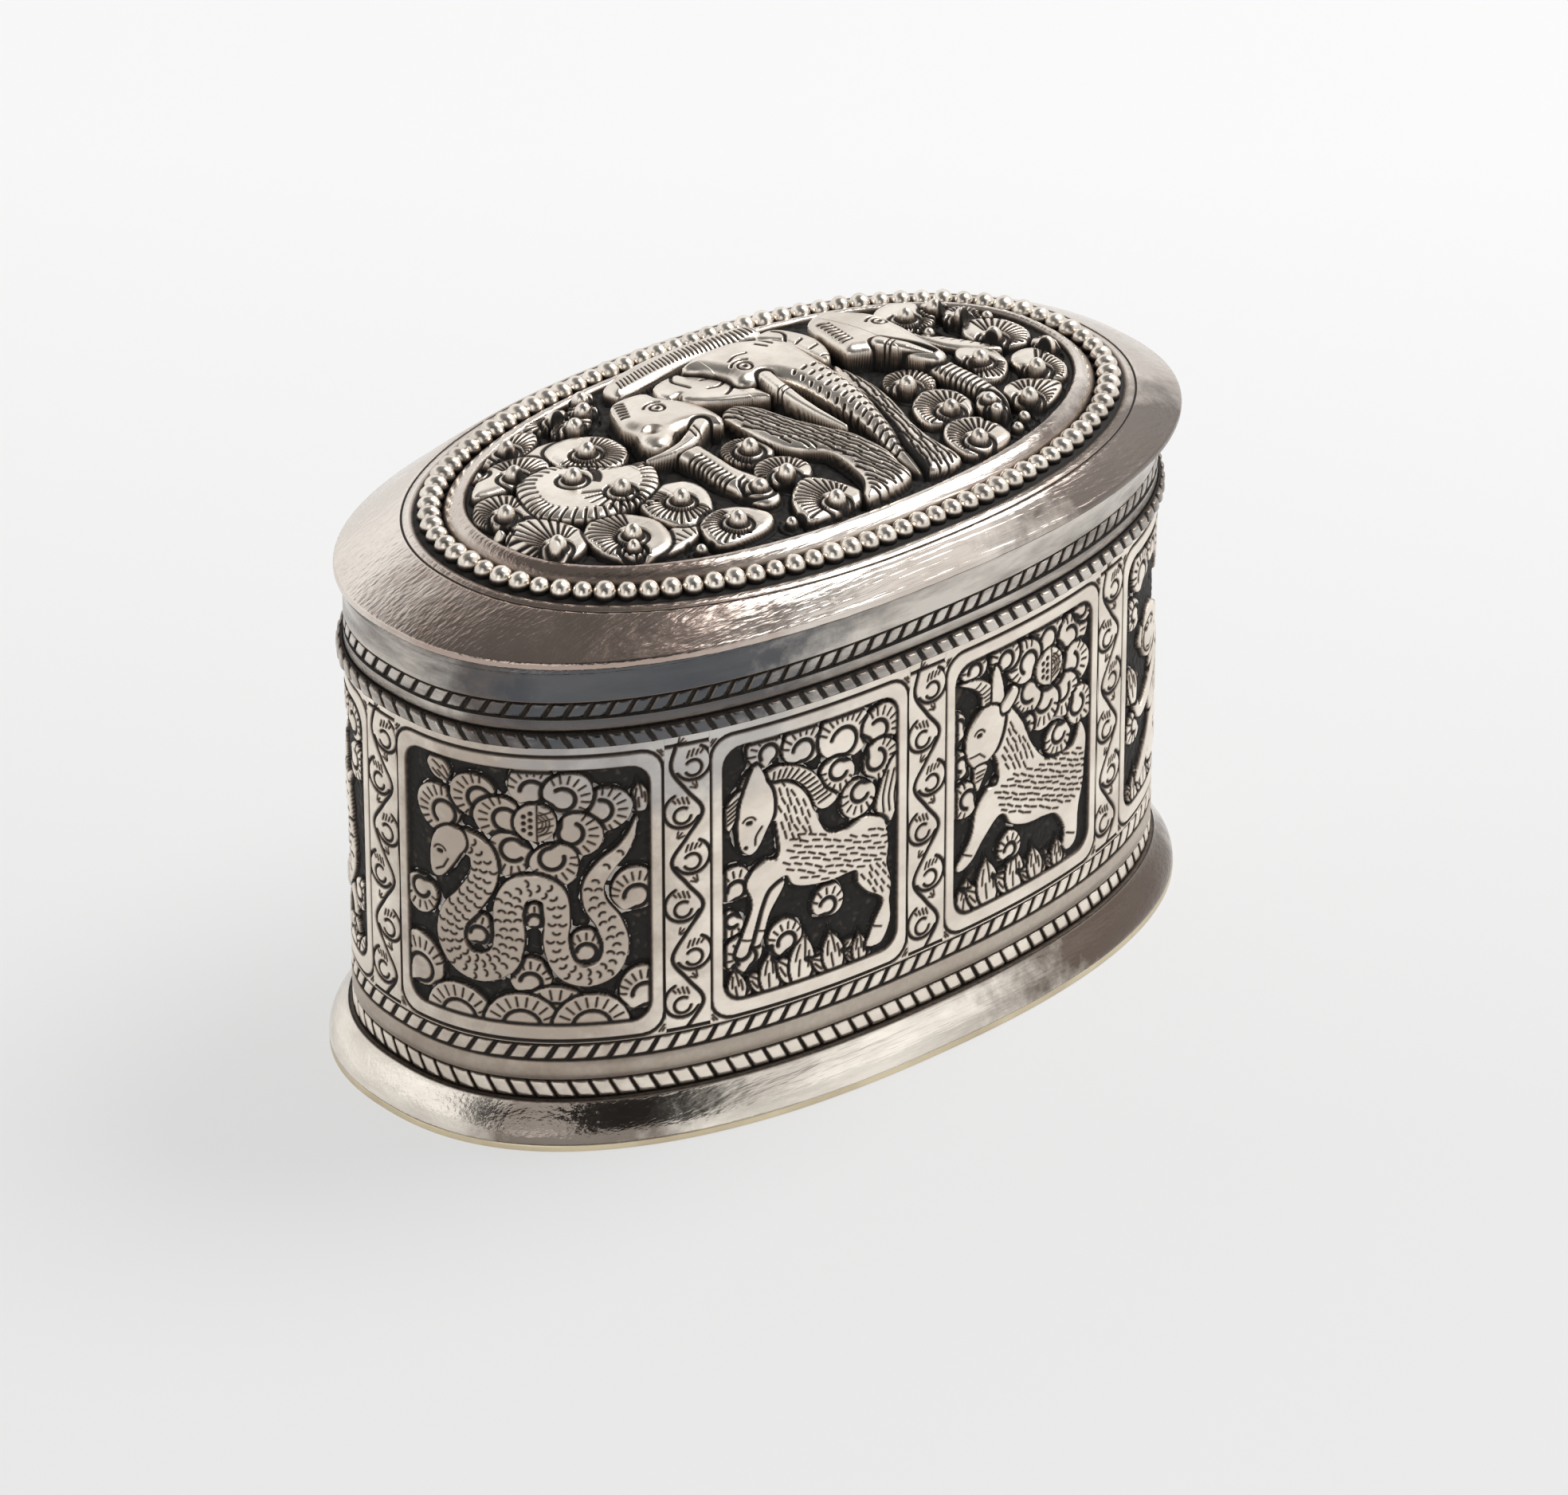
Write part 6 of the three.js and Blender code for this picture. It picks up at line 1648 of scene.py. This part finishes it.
class LidTop(BoxMaker):
    """The lid's top: a bevelled plate, a beaded border and the domed field of elephants."""

    COLUMNS, ROWS, TILES = 760, 392, 4
    EDGE_OVERLAP, FIELD_GRAIN, SKIRT = 0.1, 0.05, 0.45

    def build(self) -> None:
        """Makes the plate, the beads and the field."""
        self.plate()
        self.beads()
        self.field()

    def plate(self) -> None:
        """The plate: its hollow underside, the bevel, the bed of the beads and the floor under the field."""
        sheet = 0.9
        low, rim_top, bevel_top, bed, border = 57.0, 57.9, 60.4, 61.0, 62.5
        rings = (0.9, 0.75, 0.6, 0.45, 0.3, 0.15)
        under = ((-FIELD_INSET, FIELD_EDGE_Z - sheet, 0.2), (0, bed - sheet, 0.2),
                 (2.35, bevel_top - sheet, 0.2))
        rim = ((1.35, low), (1.55, low + 0.05), (1.62, low + 0.25), (1.63, low + 0.6),
               (1.56, rim_top - 0.08), (1.4, rim_top + 0.02))
        stations = self.crown(FIELD_EDGE_Z - sheet, 0.2, rings[::-1]) + profile(BEAD_OVAL, under)
        stations += profile(WALL_OVAL, ((-0.95, low),)) + profile(PLATE_OVAL, rim)
        stations += [self.between(1.4, rim_top + 0.02, 3.3, bevel_top, k / 10) for k in range(1, 10)]
        groove = ((3.3, 0.0), (3.1, 0.04), (3.0, -0.04, 1.0), (2.86, -0.04, 1.0), (2.76, 0.1), (2.2, 0.28),
                  (1.9, 0.26, 0.4), (1.6, 0.1, 1.0))
        stations += profile(BEAD_OVAL, ((out, bevel_top + rise, *oxide) for out, rise, *oxide in groove))
        ridge = ((1.4, bed - 0.3, 1.0), (-1.4, bed - 0.3, 1.0), (-1.5, bed + 0.1, 1.0),
                 (-1.8, bed + 0.5, 0.3), (-2.2, bed + 0.9), (-2.8, border - 0.15), (-3.35, border),
                 (-3.6, border - 0.1, 0.1), (-3.85, 62.1, 0.8), (-FIELD_INSET, FIELD_EDGE_Z - 0.5, 1.0))
        stations += profile(BEAD_OVAL, ridge) + self.crown(FIELD_EDGE_Z - 0.5, 1.0, rings)
        plate = sweep("lid_plate", stations, closed=False, waver=hand_waver(11, 0.03))
        self.painter.dress(plate, PLATE_LOOK, self.body, "lid_top")

    @staticmethod
    def crown(edge: float, oxide: float, rings: Sequence[float]) -> list[Station]:
        """Corners of a domed sheet whose edge is at a height, at some shares of the way from its middle."""
        return [Station(BEAD_OVAL, -FIELD_INSET, edge + DOME_RISE * (1 - s * s), oxide, s) for s in rings]

    @staticmethod
    def between(outset: float, z: float, inner_outset: float, inner_z: float, share: float) -> Station:
        """A station part of the way from the plate's edge to the top of its bevel."""
        mean = Oval(PLATE_OVAL.half_length + share * (BEAD_OVAL.half_length - PLATE_OVAL.half_length),
                    PLATE_OVAL.half_width + share * (BEAD_OVAL.half_width - PLATE_OVAL.half_width),
                    PLATE_OVAL.power + share * (BEAD_OVAL.power - PLATE_OVAL.power),
                    (PLATE_OVAL.middle[0] + share * (BEAD_OVAL.middle[0] - PLATE_OVAL.middle[0]), 0.0))
        crown = 0.12 * math.sin(math.pi * share)
        return Station(mean, outset + share * (inner_outset - outset), z + share * (inner_z - z) + crown)

    def beads(self) -> None:
        """The ring of beads."""
        ball = bead(1.15, 1.34, 1.35)
        line = level_line(BEAD_OVAL, 0.0, 61.0)
        made = repeat_round("border_beads", self.tree, line, BORDER_BEADS, ball, 0.08, 65,
                            self.painter.material(FIELD_LOOK))
        bpy.data.objects.remove(ball)
        self.painter.dress(made, FIELD_LOOK, self.body, "lid_top")

    def field(self) -> None:
        """The field, drawn on a grid that is squeezed into its oval."""
        u, v = np.meshgrid(np.linspace(-1, 1, self.COLUMNS), np.linspace(-1, 1, self.ROWS))
        round_x, round_y = u * np.sqrt(1 - v * v / 2), v * np.sqrt(1 - u * u / 2)
        size = np.hypot(round_x, round_y)
        angle = np.arctan2(round_y, round_x)
        power = BEAD_OVAL.power
        edge = (np.abs(np.cos(angle)) ** power + np.abs(np.sin(angle)) ** power) ** (-1 / power)
        x = BEAD_OVAL.middle[0] + (FIELD_LENGTH + self.EDGE_OVERLAP) * size * edge * np.cos(angle)
        y = (FIELD_WIDTH + self.EDGE_OVERLAP) * size * edge * np.sin(angle)
        relief = Relief(x, y, 0.1)
        grain = blur(np.random.default_rng(7).normal(0, 1, relief.shape), 2)
        grain = (grain / grain.std()).ravel()
        relief.height += self.FIELD_GRAIN * grain
        draw_back(relief)
        draw_foliage(relief)
        draw_legs(relief)
        draw_left_elephant(relief)
        draw_right_elephant(relief)
        draw_middle_elephant(relief)
        floor = np.clip((0.75 - relief.height) / 0.4, 0, 1) * np.clip(0.97 + 0.05 * grain, 0, 1)
        # The hollows are darkened at two reaches by how far they sink below their surroundings: tarnish, and
        # painted shade.
        corners = np.maximum(0.55 * relief.cavities(0.9), 0.8 * relief.cavities(0.35))
        relief.oxide = np.maximum(np.maximum(relief.oxide, floor), corners)
        relief.height *= np.clip((1 - size.ravel()) / 0.02, 0, 1)
        z = ground_of(relief.x, relief.y) + relief.height
        places = np.stack([relief.x, relief.y, z], 1).reshape(*relief.shape, 3)
        oxide = relief.oxide.reshape(relief.shape)
        cuts = np.linspace(0, self.COLUMNS - 1, self.TILES + 1).astype(int)
        for k, (first, last) in enumerate(zip(cuts[:-1], cuts[1:])):
            self.tile(f"lid_field_{k + 1}", places[:, first : last + 1], oxide[:, first : last + 1])

    def tile(self, name: str, places: Array, oxide: Array) -> None:
        """Closes one upright slice of the field with a skirt and a bottom.

        Args:
            name: The piece's name.
            places: Its points, as a grid.
            oxide: Their oxide, and painted shade in the hollows.
        """
        number, quads = grid_quads(oxide.shape)
        rim = rim_of(number)
        front = places.reshape(-1, 3)
        middle = front[rim, :2].mean(0)
        skirt = np.column_stack([front[rim, :2], ground_of(*front[rim, :2].T) - self.SKIRT])
        tip = np.append(middle, ground_of(*middle) - self.SKIRT)
        first = len(front)
        for k in range(len(rim)):
            after = (k + 1) % len(rim)
            quads.append([int(rim[k]), first + k, first + after, int(rim[after])])
            quads.append([first + k, first + len(rim), first + after])
        made = add_mesh(name, np.concatenate([front, skirt, [tip]]), quads,
                        np.concatenate([oxide.ravel(), np.ones(len(rim) + 1)]))
        self.painter.dress(made, FIELD_LOOK, self.body, "lid_top")


@dataclass(frozen=True)
class Lamp:
    """One soft lamp: where it stands, its size and its power."""

    name: str
    place: Triple
    size: float
    power: float

    def hang(self) -> None:
        """Adds the lamp, turned to the box."""
        data = bpy.data.lights.new(self.name, "AREA")
        data.shape, data.size, data.energy = "DISK", self.size, self.power
        lamp = add_object(self.name, data)
        lamp.location = self.place
        toward = Vector((0, 0, 0.03)) - Vector(self.place)
        lamp.rotation_euler = toward.to_track_quat("-Z", "Y").to_euler()


@dataclass
class Studio:
    """The pale floor and its low round wall, the room, the lamps and the camera."""

    AROUND = 96
    SWEEP = ((0.9, 0.0), (1.6, 0.0), (1.8, 0.05), (1.9, 0.2), (1.92, 0.65))

    lamps: tuple[Lamp, ...] = (Lamp("key", (0.55, -0.1, 0.85), 0.6, 6.0),
                               Lamp("fill", (-0.75, -0.5, 0.5), 0.7, 1.2))
    low_sky: float = 1.0
    high_sky: float = 0.18
    floor: float = 0.9
    ceiling: Point = (0.56, 0.8)
    camera_side: float = 0.06
    camera_space: Point = (0.66, 0.82)
    near_glow: float = 0.84
    far_glow: float = 1.0
    glow_space: Point = (-0.04, 0.2)
    glow_share: float = 0.7
    azimuth: float = -40.7
    elevation: float = 30.52
    distance: float = 1.0
    lens: float = 209.38
    sensor: float = 36.0
    clip: Point = (0.05, 20.0)
    aim: Point = (0.002894, 0.021541)

    def build(self) -> None:
        """Makes everything round the box."""
        scene = bpy.context.scene
        scene.view_settings.view_transform = "Standard"
        scene.view_settings.look = "None"
        scene.world = self.room()
        self.ground()
        for lamp in self.lamps:
            lamp.hang()
        self.camera()

    def view(self) -> Vector:
        """The direction from the box to the camera."""
        azimuth, elevation = math.radians(self.azimuth), math.radians(self.elevation)
        return Vector((math.sin(azimuth) * math.cos(elevation), -math.cos(azimuth) * math.cos(elevation),
                       math.sin(elevation)))

    def room(self) -> bpy.types.World:
        """The room: pale walls under a dark ceiling, and the dark place where the camera stands."""
        world = bpy.data.worlds.new("room")
        world.use_nodes = True
        tree = world.node_tree
        place = add_node(tree, "ShaderNodeTexCoord").outputs["Generated"]
        height = add_node(tree, "ShaderNodeSeparateXYZ", {0: place}).outputs["Z"]
        lit = mix_colours(tree, remap(tree, height, self.ceiling), (self.low_sky,) * 3,
                          (self.high_sky,) * 3)
        toward = add_node(tree, "ShaderNodeVectorMath", {0: place, 1: self.view()}, operation="DOT_PRODUCT")
        behind = remap(tree, toward.outputs["Value"], self.camera_space)
        seen = mix_colours(tree, behind, lit, (self.camera_side,) * 3)
        tree.links.new(seen, tree.nodes["Background"].inputs["Color"])
        return world

    def paper(self) -> Material:
        """The floor's material, which glows a little to the camera and in reflections."""
        material = bpy.data.materials.new("paper")
        material.use_nodes = True
        tree = material.node_tree
        shader = tree.nodes["Principled BSDF"]
        rays = add_node(tree, "ShaderNodeLightPath").outputs
        seen = calculate(tree, "MAXIMUM", rays["Is Camera Ray"], rays["Is Glossy Ray"])
        share = calculate(tree, "MULTIPLY", seen, self.glow_share)
        place = add_node(tree, "ShaderNodeTexCoord").outputs["Object"]
        azimuth = math.radians(self.azimuth)
        away = {0: place, 1: (-math.sin(azimuth), math.cos(azimuth), 0)}
        ahead = add_node(tree, "ShaderNodeVectorMath", away, operation="DOT_PRODUCT").outputs["Value"]
        tone = mix_colours(tree, remap(tree, ahead, self.glow_space), (self.near_glow,) * 3,
                           (self.far_glow,) * 3)
        glow = add_node(tree, "ShaderNodeEmission", {"Color": tone})
        blend = add_node(tree, "ShaderNodeMixShader", {0: share, 1: shader.outputs[0], 2: glow.outputs[0]})
        tree.links.new(blend.outputs[0], tree.nodes["Material Output"].inputs["Surface"])
        shader.inputs["Base Color"].default_value = (self.floor, self.floor, self.floor * 0.995, 1)
        shader.inputs["Roughness"].default_value = 0.9
        shader.inputs["Specular IOR Level"].default_value = 0.1
        return material

    def ground(self) -> None:
        """The floor and the low wall round it, in one pale sweep."""
        angles = np.arange(self.AROUND) * 2 * np.pi / self.AROUND
        rings = [np.stack([r * np.cos(angles), r * np.sin(angles), np.full(self.AROUND, z)], 1)
                 for r, z in self.SWEEP]
        points = np.concatenate([*rings, [[0, 0, 0]]])
        faces, around = [], self.AROUND
        for k in range(around):
            after = (k + 1) % around
            faces.append([len(points) - 1, k, after])
            for low in range(0, (len(rings) - 1) * around, around):
                faces.append([low + k, low + around + k, low + around + after, low + after])
        mesh = bpy.data.meshes.new("floor_sweep")
        mesh.from_pydata(points.tolist(), [], faces)
        mesh.shade_smooth()
        mesh.materials.append(self.paper())
        floor = add_object("floor_sweep", mesh)

    def camera(self) -> None:
        """The camera at the photograph's angle."""
        back = self.view()
        right = Vector((math.cos(math.radians(self.azimuth)), math.sin(math.radians(self.azimuth)), 0))
        up = back.cross(right)
        data = bpy.data.cameras.new("camera")
        data.lens, data.sensor_width = self.lens, self.sensor
        data.clip_start, data.clip_end = self.clip
        camera = add_object("camera", data)
        camera.location = back * self.distance
        toward = -back + self.aim[0] * right + self.aim[1] * up
        camera.rotation_euler = toward.to_track_quat("-Z", "Y").to_euler()
        bpy.context.scene.camera = camera


def main() -> None:
    """Builds the box and its studio."""
    logging.basicConfig(level=logging.INFO, format="%(name)s %(message)s")
    painter, tree = Painter(), repeat_tree()
    Foot(painter, tree, "base").build()
    Wall(painter, tree, "base").build()
    LidBand(painter, tree, "lid").build()
    LidTop(painter, tree, "lid").build()
    Studio().build()


if __name__ == "__main__":
    main()
